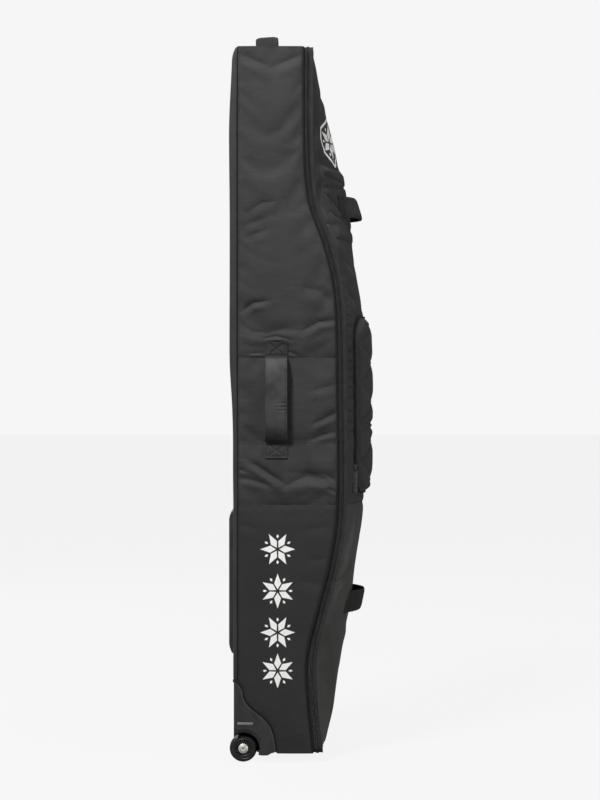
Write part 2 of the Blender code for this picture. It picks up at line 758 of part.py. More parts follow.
def make_housing(side):
    """Hollow moulded corner with an arch for the wheel and a bored wall for its axle."""
    name = side_name(side)
    centre = (WHEEL_X, WHEEL_RADIUS)
    outline = [(HOUSING_BACK_X, HOUSING_TOP_Z - 0.003)] + list(HOUSING_CONTOUR) + list(HOUSING_FOOT)
    inner_y, outer_y = HOUSING_Y
    arch_y = WHEEL_OUTER_Y - WHEEL_WIDTH - 0.0015
    shell = as_mesh(side_plate(f"{name}_wheel_housing", PLASTIC, outline, *outward(side, inner_y, outer_y)))

    mid_x = sum(x for x, z in outline) / len(outline)
    mid_z = sum(z for x, z in outline) / len(outline)
    inside = [(mid_x + (x - mid_x) * 0.90, mid_z + (z - mid_z) * 0.93) for x, z in outline]
    hollow = as_mesh(side_plate(f"{name}_hollow", PLASTIC, inside,
                                *outward(side, inner_y - 0.01, outer_y - HOUSING_WALL), CUTTERS))
    keep = cylinder(f"{name}_arch_wall", PLASTIC, ARCH_RADIUS + HOUSING_WALL,
                    *outward(side, arch_y - HOUSING_WALL, outer_y + 0.02), centre, 36, CUTTERS)
    combine(hollow, keep)
    arch = cylinder(f"{name}_arch", PLASTIC, ARCH_RADIUS, *outward(side, arch_y, outer_y + 0.01), centre, 36,
                    CUTTERS)
    bore = cylinder(f"{name}_axle_bore", PLASTIC, BEARING_BORE + RUNNING,
                    *outward(side, arch_y - 0.01, arch_y + 0.01), centre, 20, CUTTERS)
    bar_y = outward(side, outer_y - 0.001, outer_y + 0.0012)
    bar = box(f"{name}_trim_bar", PLASTIC, (-0.148, bar_y[0], 0.088), (-0.112, bar_y[1], 0.095), CUTTERS)
    combine(shell, hollow)
    combine(shell, arch)
    combine(shell, bore)
    combine(shell, bar, "UNION")


def make_wheel(side):
    name = side_name(side)
    outer, inner = WHEEL_OUTER_Y, WHEEL_OUTER_Y - WHEEL_WIDTH
    crown = 0.007
    tread = arc((WHEEL_RADIUS - crown, outer - crown), crown, 90, 0, 5)
    tread += arc((WHEEL_RADIUS - crown, inner + crown), crown, 0, -90, 5)
    seat = HUB_RADIUS + RUNNING
    turned(f"{name}_tyre", TYRE, [(seat, outer)] + tread + [(seat, inner)], side)

    bed = BEARING_RADIUS + RUNNING
    depth = BEARING_WIDTH + RUNNING
    lip = BEARING_BORE + 0.004
    hub = [(bed, outer), (HUB_RADIUS, outer), (HUB_RADIUS, inner), (bed, inner), (bed, inner + depth),
           (lip, inner + depth), (lip, outer - depth), (bed, outer - depth)]
    turned(f"{name}_wheel_hub", PLASTIC, hub, side)
    for where, edge in (("outer", outer), ("inner", inner + BEARING_WIDTH)):
        ring = [(BEARING_BORE, edge), (BEARING_RADIUS, edge), (BEARING_RADIUS, edge - BEARING_WIDTH),
                (BEARING_BORE, edge - BEARING_WIDTH)]
        turned(f"{name}_{where}_bearing", STEEL, ring, side, 20)
    shaft = BEARING_BORE - RUNNING
    cap_low = outer + RUNNING
    cap = [(0, cap_low + 0.0042), (AXLE_CAP_RADIUS * 0.7, cap_low + 0.0042),
           (AXLE_CAP_RADIUS, cap_low + 0.0022), (AXLE_CAP_RADIUS, cap_low), (shaft, cap_low),
           (shaft, inner - 0.005), (0, inner - 0.005)]
    bolt = turned(f"{name}_axle_bolt", STEEL, cap, side, 24)
    socket = cylinder(f"{name}_socket", STEEL, 0.0035, *outward(side, cap_low + 0.0015, cap_low + 0.01),
                      (WHEEL_X, WHEEL_RADIUS), 6, CUTTERS)
    combine(bolt, socket)


def build():
    make_back_panel()
    make_ends()
    make_stiffener()
    make_zipper()
    make_main_sliders()
    make_lid()
    make_loops()
    make_pocket()
    make_top_handle()
    make_skid_plate()
    for side in (-1, 1):
        make_side(side)
        make_piping(side)
        make_side_handle(side)
        make_housing(side)
        make_wheel(side)


build()
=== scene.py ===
"""Looks of the wheeled snowboard bag: cloth, webbing, zipper, moulded corners, wheels and materials."""

import bisect
import json
import math

import bmesh
import bpy
from mathutils import Matrix, Vector, noise
from mathutils.bvhtree import BVHTree


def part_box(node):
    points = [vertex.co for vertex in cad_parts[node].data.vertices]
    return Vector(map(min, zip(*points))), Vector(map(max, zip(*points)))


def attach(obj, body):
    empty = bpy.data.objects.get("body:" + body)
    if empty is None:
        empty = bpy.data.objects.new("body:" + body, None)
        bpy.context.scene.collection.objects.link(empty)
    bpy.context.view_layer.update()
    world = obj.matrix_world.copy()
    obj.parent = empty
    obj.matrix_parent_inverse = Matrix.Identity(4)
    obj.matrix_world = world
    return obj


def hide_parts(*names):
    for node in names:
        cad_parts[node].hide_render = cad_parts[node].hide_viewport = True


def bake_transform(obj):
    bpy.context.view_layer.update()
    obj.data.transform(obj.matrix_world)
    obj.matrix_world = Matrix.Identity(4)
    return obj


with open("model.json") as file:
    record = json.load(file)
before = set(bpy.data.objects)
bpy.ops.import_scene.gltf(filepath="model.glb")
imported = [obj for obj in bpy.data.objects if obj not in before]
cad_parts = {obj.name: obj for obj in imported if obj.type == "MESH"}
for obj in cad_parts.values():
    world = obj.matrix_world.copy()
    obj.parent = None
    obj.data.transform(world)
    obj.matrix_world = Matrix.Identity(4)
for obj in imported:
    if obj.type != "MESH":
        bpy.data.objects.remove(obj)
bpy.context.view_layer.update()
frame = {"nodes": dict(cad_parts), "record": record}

# Shape of the bag, the same as the frame's: (height, x) of the side panels' front edge and the lid's crest
FRONT_EDGE = (
    (0.021, 0.029), (0.140, 0.017), (0.246, 0.014), (0.363, 0.041), (0.469, 0.068), (0.589, 0.085),
    (0.890, 0.085), (1.099, 0.079), (1.214, 0.055), (1.324, 0.017), (1.450, 0.007), (1.684, 0.006),
)
LID_CREST = (
    (0.021, 0.061), (0.164, 0.088), (0.340, 0.118), (0.476, 0.136), (0.632, 0.152), (1.062, 0.150),
    (1.218, 0.127), (1.394, 0.099), (1.511, 0.073), (1.684, 0.027),
)
BAND = 0.0225
LID_ROUNDNESS = 1.8
LID_END_ROUNDING = 40
END_CORNER = 0.016
SEAM_LOW, SEAM_HANDLE, SEAM_HIGH = 0.605, 0.753, 0.951
LID_SEAM_LOW, LID_SEAM_HIGH = 0.605, 1.267
SKIN = 0.003
STITCH_INSET = 0.0035
LAID_ON = 0.0002
STRAP_THICK = 0.0028
TAPE_THICK = 0.0012
# x of the zipper's parts, from the side panels' front edge
TAPE_BAG_START, TAPE_BAG_END, BAG_COIL_X = -0.0010, 0.0096, 0.0083
TAPE_LID_START, TAPE_LID_END, LID_COIL_X = 0.0104, 0.0226, 0.0117

# Places read from the frame
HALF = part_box("right_upper_side_panel")[1].y
BASE_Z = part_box("bottom_end_panel")[0].z
TOP_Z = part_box("top_end_panel")[1].z
BACK_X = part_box("back_panel")[0].x
BACK_SEAM_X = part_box("left_upper_side_panel")[0].x
HOUSING_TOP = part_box("left_wheel_housing")[1].z
POCKET_LOW, POCKET_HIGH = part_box("pocket_panel")
WHEEL_LOW, WHEEL_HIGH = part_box("left_tyre")
WHEEL_X = (WHEEL_LOW.x + WHEEL_HIGH.x) / 2
WHEEL_RADIUS = (WHEEL_HIGH.z - WHEEL_LOW.z) / 2
LEFT, RIGHT = -1, 1


def smooth(stations, height):
    """Value at a height on the smooth curve through (height, value) stations."""
    height = min(max(height, stations[0][0]), stations[-1][0])
    last = len(stations) - 1
    i = max(k for k in range(last) if stations[k][0] <= height)

    def slope(k):
        low, high = max(k - 1, 0), min(k + 1, last)
        return (stations[high][1] - stations[low][1]) / (stations[high][0] - stations[low][0])

    (z0, a), (z1, b) = stations[i], stations[i + 1]
    span = z1 - z0
    t = (height - z0) / span
    hermite = (2 * t**3 - 3 * t**2 + 1) * a + (3 * t**2 - 2 * t**3) * b
    return hermite + (t**3 - 2 * t**2 + t) * span * slope(i) + (t**3 - t**2) * span * slope(i + 1)


def front_edge(z):
    return smooth(FRONT_EDGE, z)


def lid_x(y, z):
    edge = front_edge(z) + BAND
    crown = max(smooth(LID_CREST, z) - edge, 0.0)
    across = 1 - min(abs(y / HALF), 1.0) ** LID_ROUNDNESS
    middle = (TOP_Z + BASE_Z) / 2
    along = 1 - min(abs((z - middle) / (TOP_Z - middle)), 1.0) ** LID_END_ROUNDING
    return edge + crown * across * along


def between(low, high, count):
    return [low + (high - low) * i / (count - 1) for i in range(count)]


def arc(centre, radius, start, stop, count):
    angles = [math.radians(a) for a in between(start, stop, count)]
    return [(centre[0] + radius * math.cos(a), centre[1] + radius * math.sin(a)) for a in angles]


def ease(value, low, high):
    """0 below low, 1 above high, and a smooth step between."""
    t = min(max((value - low) / (high - low), 0.0), 1.0)
    return t * t * (3 - 2 * t)


def side_name(side):
    return "left" if side < 0 else "right"


# Materials


class Look:
    """A Principled material with short calls for the nodes that these looks share."""

    def __init__(self, name, colour, roughness, metallic=0.0, sheen=0.0, shine=0.5):
        self.material = bpy.data.materials.new(name)
        self.material.use_nodes = True
        self.tree = self.material.node_tree
        self.shader = self.tree.nodes["Principled BSDF"]
        self.colour = colour
        self.shader.inputs["Base Color"].default_value = (*colour, 1)
        self.shader.inputs["Roughness"].default_value = roughness
        self.shader.inputs["Metallic"].default_value = metallic
        self.shader.inputs["Sheen Weight"].default_value = sheen
        self.shader.inputs["Sheen Roughness"].default_value = 0.4
        self.shader.inputs["Specular IOR Level"].default_value = shine
        self.place = self.tree.nodes.new("ShaderNodeTexCoord").outputs["Object"]

    def node(self, kind, **settings):
        made = self.tree.nodes.new(kind)
        for key, value in settings.items():
            setattr(made, key, value)
        return made

    def link(self, output, target):
        self.tree.links.new(output, target)

    def math(self, operation, a, b=0.0):
        made = self.node("ShaderNodeMath", operation=operation)
        for socket, value in zip(made.inputs, (a, b)):
            if isinstance(value, (int, float)):
                socket.default_value = value
            else:
                self.link(value, socket)
        return made.outputs[0]

    def noise(self, size, detail=2.0, stretch=(1, 1, 1)):
        """Noise with features about size metres across."""
        scale = self.node("ShaderNodeVectorMath", operation="MULTIPLY")
        self.link(self.place, scale.inputs[0])
        scale.inputs[1].default_value = [s / size for s in stretch]
        made = self.node("ShaderNodeTexNoise")
        made.inputs["Scale"].default_value = 1.0
        made.inputs["Detail"].default_value = detail
        self.link(scale.outputs[0], made.inputs["Vector"])
        return made.outputs["Fac"]

    def waves(self, pitch, directions):
        """Sum of sine waves of one pitch in metres, one for each direction."""
        total = 0.0
        for direction in directions:
            dot = self.node("ShaderNodeVectorMath", operation="DOT_PRODUCT")
            self.link(self.place, dot.inputs[0])
            dot.inputs[1].default_value = [d * 2 * math.pi / pitch for d in direction]
            total = self.math("ADD", self.math("SINE", dot.outputs["Value"]), total)
        return total

    def vary_colour(self, factor, dark, light, low=0.35, high=0.65):
        """Base colour from dark to light times the look's own, along a factor."""
        ramp = self.node("ShaderNodeValToRGB")
        ramp.color_ramp.elements[0].position = low
        ramp.color_ramp.elements[1].position = high
        ramp.color_ramp.elements[0].color = (*[c * dark for c in self.colour], 1)
        ramp.color_ramp.elements[1].color = (*[c * light for c in self.colour], 1)
        self.link(factor, ramp.inputs[0])
        self.link(ramp.outputs[0], self.shader.inputs["Base Color"])

    def vary_roughness(self, factor, low, high):
        spread = self.node("ShaderNodeMapRange")
        spread.inputs["To Min"].default_value = low
        spread.inputs["To Max"].default_value = high
        self.link(factor, spread.inputs["Value"])
        self.link(spread.outputs[0], self.shader.inputs["Roughness"])

    def bump(self, height, distance, strength=1.0, under=None):
        """Adds relief of a distance in metres, and gives the normal for another layer on top."""
        made = self.node("ShaderNodeBump")
        made.inputs["Strength"].default_value = strength
        made.inputs["Distance"].default_value = distance
        self.link(height, made.inputs["Height"])
        if under:
            self.link(under, made.inputs["Normal"])
        self.link(made.outputs[0], self.shader.inputs["Normal"])
        return made.outputs[0]


AXES = ((1, 0, 0), (0, 1, 0), (0, 0, 1))
GRAIN_PER_METRE = 420


def woven(name, colour, roughness, pitch, sheen=0.0, relief=0.00012):
    """Plain weave with cloudy shade changes."""
    look = Look(name, colour, roughness, sheen=sheen, shine=0.3)
    threads = look.waves(pitch, AXES)
    clouds = look.noise(0.09, 3)
    slubs = look.noise(0.004, 2, (0.15, 0.15, 1))
    mixed = look.math("ADD", look.math("MULTIPLY", clouds, 0.7), look.math("MULTIPLY", slubs, 0.3))
    look.vary_colour(mixed, 0.82, 1.20)
    look.vary_roughness(clouds, roughness - 0.08, roughness + 0.06)
    soft = look.bump(look.noise(0.014, 2), 0.0006, 0.5)
    look.bump(threads, relief, 0.6, soft)
    return look.material


def coated(name, colour, roughness):
    """Smooth coated cloth: faint weave, fine leathery grain and handling marks."""
    look = Look(name, colour, roughness, shine=0.35)
    clouds = look.noise(0.12, 4)
    look.vary_colour(clouds, 0.9, 1.12)
    look.vary_roughness(look.noise(0.02, 4), roughness - 0.07, roughness + 0.10)
    soft = look.bump(look.noise(0.010, 3), 0.0004, 0.5)
    look.bump(look.waves(0.0009, AXES), 0.00005, 0.4, soft)
    return look.material


def webbing(name, colour):
    """Herringbone webbing with cross ribs."""
    look = Look(name, colour, 0.75, sheen=0.05, shine=0.3)
    ribs = look.waves(0.0022, ((0.7, 0.7, 0.7), (0.7, 0.7, -0.7)))
    look.vary_colour(look.math("ADD", look.math("MULTIPLY", ribs, 0.12), look.noise(0.03, 3)), 0.75, 1.25)
    look.bump(ribs, 0.00035, 0.8)
    return look.material


def tape_cloth(name, colour):
    """Zipper tape: fine herringbone with fuzzy shade."""
    look = Look(name, colour, 0.8, sheen=0.04, shine=0.25)
    ribs = look.waves(0.0011, ((0.8, 0.8, 0.6), (0.8, 0.8, -0.6)))
    look.vary_colour(look.noise(0.02, 3), 0.85, 1.15)
    look.bump(ribs, 0.00015, 0.7)
    return look.material


def leather(name, colour):
    """Grained leather, worn lighter where hands rub it."""
    look = Look(name, colour, 0.68, shine=0.35)
    cells = look.node("ShaderNodeTexVoronoi", feature="DISTANCE_TO_EDGE")
    scale = look.node("ShaderNodeVectorMath", operation="MULTIPLY")
    look.link(look.place, scale.inputs[0])
    scale.inputs[1].default_value = (GRAIN_PER_METRE, GRAIN_PER_METRE, GRAIN_PER_METRE)
    look.link(scale.outputs[0], cells.inputs["Vector"])
    cells.inputs["Scale"].default_value = 1.0
    look.vary_colour(look.noise(0.035, 5), 0.8, 1.5)
    look.vary_roughness(look.noise(0.012, 4), 0.58, 0.80)
    soft = look.bump(look.noise(0.006, 4), 0.0006, 0.6)
    look.bump(cells.outputs["Distance"], 0.0003, 0.7, soft)
    return look.material


def moulded(name, colour, roughness):
    """Spark-textured moulded plastic with scuffs."""
    look = Look(name, colour, roughness)
    scuffs = look.noise(0.018, 6, (1, 1, 0.4))
    look.vary_colour(scuffs, 0.85, 1.25)
    look.vary_roughness(scuffs, roughness - 0.1, roughness + 0.12)
    look.bump(look.noise(0.0012, 3), 0.00012, 0.6)
    return look.material


def metal(name, colour, roughness, wear_and_glints, purity):
    """Plated metal with fine scratches, and patches of a lighter tone: wear, and on the black slider metal
    also painted glints.
    """
    look = Look(name, colour, roughness, metallic=purity)
    scratches = look.noise(0.002, 4, (1, 1, 0.1))
    look.vary_colour(look.noise(0.005, 4), 1.0, wear_and_glints, 0.45, 0.75)
    look.vary_roughness(scratches, roughness * 0.7, roughness * 1.5)
    look.bump(scratches, 0.00004, 0.5)
    return look.material


def urethane(name, colour):
    look = Look(name, colour, 0.42)
    look.vary_colour(look.noise(0.01, 4), 0.8, 1.3)
    look.vary_roughness(look.noise(0.006, 4), 0.34, 0.6)
    look.bump(look.noise(0.0015, 3), 0.0001, 0.5)
    return look.material


def printed(name, colour):
    """Screen print: thick ink that lets the weave through and crackles a little."""
    look = Look(name, colour, 0.6)
    look.vary_colour(look.noise(0.006, 5), 0.94, 1.03)
    soft = look.bump(look.waves(0.0009, AXES), 0.00006, 0.6)
    look.bump(look.noise(0.0025, 4), 0.0001, 0.4, soft)
    return look.material


WEAVE = woven("woven_polyester", (0.0305, 0.0292, 0.0297), 0.80, 0.0011, sheen=0.04)
COATED = coated("coated_fabric", (0.0175, 0.0175, 0.0172), 0.64)
# Lighter copy of the coated fabric for the lid's lower panel: painted light, standing for the fill light and
# sheen on that panel.
LID_COATED_PAINTED_LIGHT = coated("lid_coated_fabric_painted_light", (0.0420, 0.0410, 0.0390), 0.56)
QUILT = woven("quilted_fabric", (0.027, 0.0265, 0.0265), 0.62, 0.0009, sheen=0.04)
LINING = woven("lining", (0.060, 0.060, 0.066), 0.7, 0.0045, relief=0.0002)
TAPE = tape_cloth("zipper_tape", (0.021, 0.021, 0.021))
# Near-black piping cloth: real piping, darkened as painted shade of the grooves beside it and of the gap
# round each wheel housing.
CORD_AND_GAP_SHADE = tape_cloth("piping_cloth_and_gap_shade", (0.0055, 0.005, 0.005))
STRAP = webbing("webbing", (0.017, 0.0165, 0.0165))
DARK_STRAP = webbing("dark_webbing", (0.0095, 0.0092, 0.0092))
GRIP = leather("grip_leather", (0.030, 0.0295, 0.0295))
THREAD = webbing("sewing_thread", (0.011, 0.011, 0.011))
PLASTIC = moulded("moulded_plastic", (0.024, 0.024, 0.0235), 0.5)
DARK_PLASTIC = moulded("hub_plastic", (0.010, 0.010, 0.010), 0.42)
BOARD = moulded("stiffener_board", (0.03, 0.03, 0.03), 0.6)
COIL = moulded("coil_plastic", (0.014, 0.014, 0.014), 0.45)
TYRE = urethane("wheel_tyre", (0.011, 0.011, 0.011))
STEEL = metal("nickel_steel", (0.78, 0.76, 0.70), 0.42, 1.15, 0.7)
# The slider's lighter patches are partly wear and partly painted glints.
SLIDER = metal("black_metal", (0.13, 0.13, 0.13), 0.25, 2.0, 0.9)
INK = printed("white_print", (0.86, 0.86, 0.84))
# Light grey colour of the raised bar on each wheel housing: painted highlight of the light the bar catches.
BAR_PAINTED_HIGHLIGHT = moulded("bar_painted_highlight", (0.16, 0.16, 0.16), 0.4)

# Making pieces

SHARP = math.radians(40)


def piece(name, source, look, body=None, nodes=()):
    """Makes a mesh or bmesh a smooth-shaded piece that rides a body and stands for CAD nodes."""
    if isinstance(source, bmesh.types.BMesh):
        mesh = bpy.data.meshes.new(name)
        source.to_mesh(mesh)
        source.free()
    else:
        mesh = source
    item = bpy.data.objects.new(name, mesh)
    mesh.materials.clear()
    mesh.materials.append(look)
    bpy.context.scene.collection.objects.link(item)
    mesh.shade_smooth()
    mesh.set_sharp_from_angle(angle=SHARP)
    if body:
        settle(item, body, nodes)
    return item


def settle(item, body, nodes=()):
    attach(item, body)
    finish_piece(nodes)


def finish_piece(nodes=()):
    if nodes:
        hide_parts(*nodes)


def apply_modifiers(item):
    graph = bpy.context.evaluated_depsgraph_get()
    mesh = bpy.data.meshes.new_from_object(item.evaluated_get(graph))
    item.modifiers.clear()
    item.data = mesh
    mesh.set_sharp_from_angle(angle=SHARP)
    return item


def grid(columns, rows, point):
    """Quads over (u, v) from 0 to 1."""
    bm = bmesh.new()
    bmesh.ops.create_grid(bm, x_segments=columns, y_segments=rows, size=0.5)
    for vert in bm.verts:
        vert.co = point(vert.co.x + 0.5, vert.co.y + 0.5)
    return bm


def add_subdivision(item, levels):
    """Smooths a sheet's inside and keeps its corners."""
    fine = item.modifiers.new("fine", "SUBSURF")
    fine.levels = fine.render_levels = levels
    fine.boundary_smooth = "PRESERVE_CORNERS"


def thicken(item, thickness, offset=-1.0, edge=0.0, levels=0):
    """Gives a sheet its thickness, with rounded edges and a subdivision if asked for."""
    shell = item.modifiers.new("thickness", "SOLIDIFY")
    shell.thickness = thickness
    shell.offset = offset
    if edge:
        bevel = item.modifiers.new("edge", "BEVEL")
        bevel.width = edge
        bevel.segments = 2
        bevel.limit_method = "ANGLE"
        bevel.angle_limit = math.radians(50)
    if levels:
        add_subdivision(item, levels)
    return apply_modifiers(item)


def box_bm(low, high, bevel=0.0, segments=2):
    bm = bmesh.new()
    bmesh.ops.create_cube(bm, size=1.0)
    low, high = Vector(low), Vector(high)
    bmesh.ops.scale(bm, vec=high - low, verts=bm.verts)
    bmesh.ops.translate(bm, vec=(low + high) / 2, verts=bm.verts)
    if bevel:
        bmesh.ops.bevel(bm, geom=bm.edges[:], offset=bevel, segments=segments, profile=0.5, affect="EDGES")
    return bm


def merge(target, source):
    """Adds one bmesh to another."""
    mesh = bpy.data.meshes.new("part")
    source.to_mesh(mesh)
    source.free()
    target.from_mesh(mesh)
    bpy.data.meshes.remove(mesh)


def loft(rings, closed=False):
    """Skin over rings of equally many points, closed into a loop or with flat ends."""
    bm = bmesh.new()
    made = [[bm.verts.new(p) for p in ring] for ring in rings]
    pairs = list(zip(made, made[1:] + made[:1])) if closed else list(zip(made, made[1:]))
    for a, b in pairs:
        for k in range(len(a)):
            bm.faces.new((a[k - 1], a[k], b[k], b[k - 1]))
    if not closed:
        ends = [bm.faces.new(made[0][::-1]), bm.faces.new(made[-1])]
        bmesh.ops.triangulate(bm, faces=ends, ngon_method="EAR_CLIP")
    bmesh.ops.recalc_face_normals(bm, faces=bm.faces)
    return bm


def sweep(path, radius, sides=8, closed=False):
    """Round cord through path points, with capped ends."""
    points = [Vector(p) for p in path]
    turns = [2 * math.pi * k / sides for k in range(sides)]
    side = None
    rings = []
    for i, point in enumerate(points):
        ahead = points[(i + 1) % len(points)] if closed or i < len(points) - 1 else point
        behind = points[i - 1] if closed or i else point
        along = (ahead - behind).normalized()
        side = side or along.cross(Vector((0.31, 0.27, 0.91)))
        side = (side - along * side.dot(along)).normalized()
        other = along.cross(side)
        rings.append([point + (side * math.cos(a) + other * math.sin(a)) * radius for a in turns])
    return loft(rings, closed)


def lathe(profile, side, segments=64):
    """Turns a closed profile of (radius, distance outwards) round the wheel's axis."""
    rings = []
    for k in range(segments):
        a = 2 * math.pi * k / segments
        rings.append([
            Vector((WHEEL_X + radius * math.cos(a), side * out, WHEEL_RADIUS + radius * math.sin(a)))
            for radius, out in profile
        ])
    bm = loft(rings, closed=True)
    bmesh.ops.remove_doubles(bm, verts=bm.verts, dist=1e-6)
    return bm


def boolean(item, other, operation):
    step = item.modifiers.new("cut", "BOOLEAN")
    step.operation = operation
    step.object = other
    step.solver = "EXACT"
    apply_modifiers(item)
    bpy.data.objects.remove(other, do_unlink=True)
    return item


def add_copy(bm, mesh, matrix):
    """Adds a placed copy of a mesh to a bmesh."""
    before = len(bm.verts)
    bm.from_mesh(mesh)
    bm.verts.ensure_lookup_table()
    bmesh.ops.transform(bm, matrix=matrix, verts=bm.verts[before:])


def stitches(paths, length=0.0032, gap=0.0018, radius=0.00038):
    """Runs of short raised stitches along paths of points."""
    ball = bpy.data.meshes.new("stitch")
    shape = bmesh.new()
    bmesh.ops.create_uvsphere(shape, u_segments=6, v_segments=4, radius=1.0)
    shape.to_mesh(ball)
    shape.free()
    bm = bmesh.new()
    for path in paths:
        points = [Vector(p) for p in path]
        reach = [0.0]
        for a, b in zip(points, points[1:]):
            reach.append(reach[-1] + max((b - a).length, 1e-9))

        def at(distance, points=points, reach=reach):
            i = min(max(bisect.bisect_right(reach, distance), 1), len(reach) - 1)
            return points[i - 1].lerp(points[i], (distance - reach[i - 1]) / (reach[i] - reach[i - 1]))

        for number in range(int((reach[-1] + gap) / (length + gap))):
            place = number * (length + gap)
            start, end = at(place), at(place + length)
            turn = (end - start).to_track_quat("Z", "Y").to_matrix().to_4x4()
            size = Matrix.Diagonal((radius, radius, length / 2, 1))
            add_copy(bm, ball, Matrix.Translation((start + end) / 2) @ turn @ size)
    bpy.data.meshes.remove(ball)
    return bm


# Cloth

ROW_PITCH = 0.0095
SEAM_WIDTH = 0.004
HELD_RIM = 0.004
SKIN_LEVELS = 2


def relax(item, pin, frames, pressure, growth, cap, gravity, bending):
    """Lets a sheet swell and buckle as cloth. pin(co) is how firmly a point is held, from 0 to 1."""
    rest = [v.co.copy() for v in item.data.vertices]
    held = item.vertex_groups.new(name="held")
    for vert in item.data.vertices:
        held.add([vert.index], pin(vert.co), "REPLACE")
    cloth = item.modifiers.new("cloth", "CLOTH")
    settings = cloth.settings
    settings.quality = 6
    settings.mass = 0.25
    settings.tension_stiffness = 20
    settings.compression_stiffness = 20
    settings.shear_stiffness = 8
    settings.bending_stiffness = bending
    settings.vertex_group_mass = "held"
    settings.use_pressure = pressure != 0
    settings.uniform_pressure_force = pressure
    settings.shrink_min = -growth
    settings.effector_weights.gravity = gravity
    cloth.collision_settings.use_collision = False
    cloth.collision_settings.use_self_collision = False
    cloth.point_cache.frame_start = 1
    cloth.point_cache.frame_end = frames
    scene = bpy.context.scene
    for number in range(1, frames + 1):
        scene.frame_set(number)
    graph = bpy.context.evaluated_depsgraph_get()
    moved = [v.co.copy() for v in item.evaluated_get(graph).data.vertices]
    item.modifiers.remove(cloth)
    item.vertex_groups.clear()
    for vert, before, after in zip(item.data.vertices, rest, moved):
        step = after - before
        limit = cap * math.tanh(step.length / cap) if step.length > 1e-9 else 0.0
        vert.co = before + step.normalized() * limit
    scene.frame_set(1)
    return item


def near_any(value, places, width):
    """1 on any of the places, falling to 0 at width away from them."""
    return max(1 - min(abs(value - p) / width, 1.0) for p in places)


def seam_rows(limits, pitch):
    """Row heights with each seam on a row of its own, and the row where each stretch starts."""
    rows = [limits[0]]
    starts = [0]
    for low, high in zip(limits, limits[1:]):
        count = max(round((high - low) / pitch), 2)
        rows += between(low, high, count + 1)[1:]
        starts.append(len(rows) - 1)
    return rows, starts


def beside_seam(distance):
    """How much of a crease stays beside a seam: a quarter on it, and all of it 6 mm away."""
    return 0.25 + 0.75 * ease(distance, 0, 0.006)


def cut_rows(item, columns, first, last):
    """The part of a grid piece between two of its rows, as a new bmesh."""
    bm = bmesh.new()
    width = columns + 1
    verts = item.data.vertices
    copies = [[bm.verts.new(verts[r * width + c].co) for c in range(width)] for r in range(first, last + 1)]
    for low, high in zip(copies, copies[1:]):
        for c in range(columns):
            bm.faces.new((low[c], low[c + 1], high[c + 1], high[c]))
    return bm


# Side walls

HOUSING_CONTOUR = (
    (-0.159, 0.192), (-0.149, 0.184), (-0.140, 0.172), (-0.135, 0.150), (-0.126, 0.134), (-0.106, 0.117),
    (-0.089, 0.103), (-0.072, 0.081), (-0.064, 0.055), (-0.059, 0.024),
)
HOUSING_EDGE = tuple((z, x) for x, z in reversed(HOUSING_CONTOUR))
HANDLE_LOW, HANDLE_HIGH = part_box("left_handle_webbing")
SIDE_COLUMNS = 26
SIDE_SWELL = 0.0042
SEAM_PULL = 0.0012
HOUSING_GAP = 0.0034
SIDE_SEAMS = (SEAM_LOW, SEAM_HANDLE, SEAM_HIGH)
side_surfaces = {}


def side_back(z):
    """Back edge of the side wall: the seam, or lower down the wheel housing."""
    if z >= HOUSING_TOP:
        return BACK_SEAM_X
    return max(smooth(HOUSING_EDGE, z) + HOUSING_GAP, BACK_SEAM_X)


FOLD_STRENGTH = 1.45
DEEPEST_FOLD = 0.0040
RIGHT_WALL_SHIFT = 0.012
LOWER_WALL_RELIEF = 0.45
# How firmly the simulation holds the free cloth, and the stiffer lower section
WALL_HOLD, LOWER_WALL_HOLD = 0.01, 0.85
# The handle's sewn anchors, from its ends, and how far they hold the cloth
ANCHOR_INSET, ANCHOR_REACH = 0.018, 0.026
WALL_CLOTH = {"frames": 14, "pressure": 0.6, "growth": 0.010, "cap": 0.0030, "gravity": 0.3, "bending": 2.5}

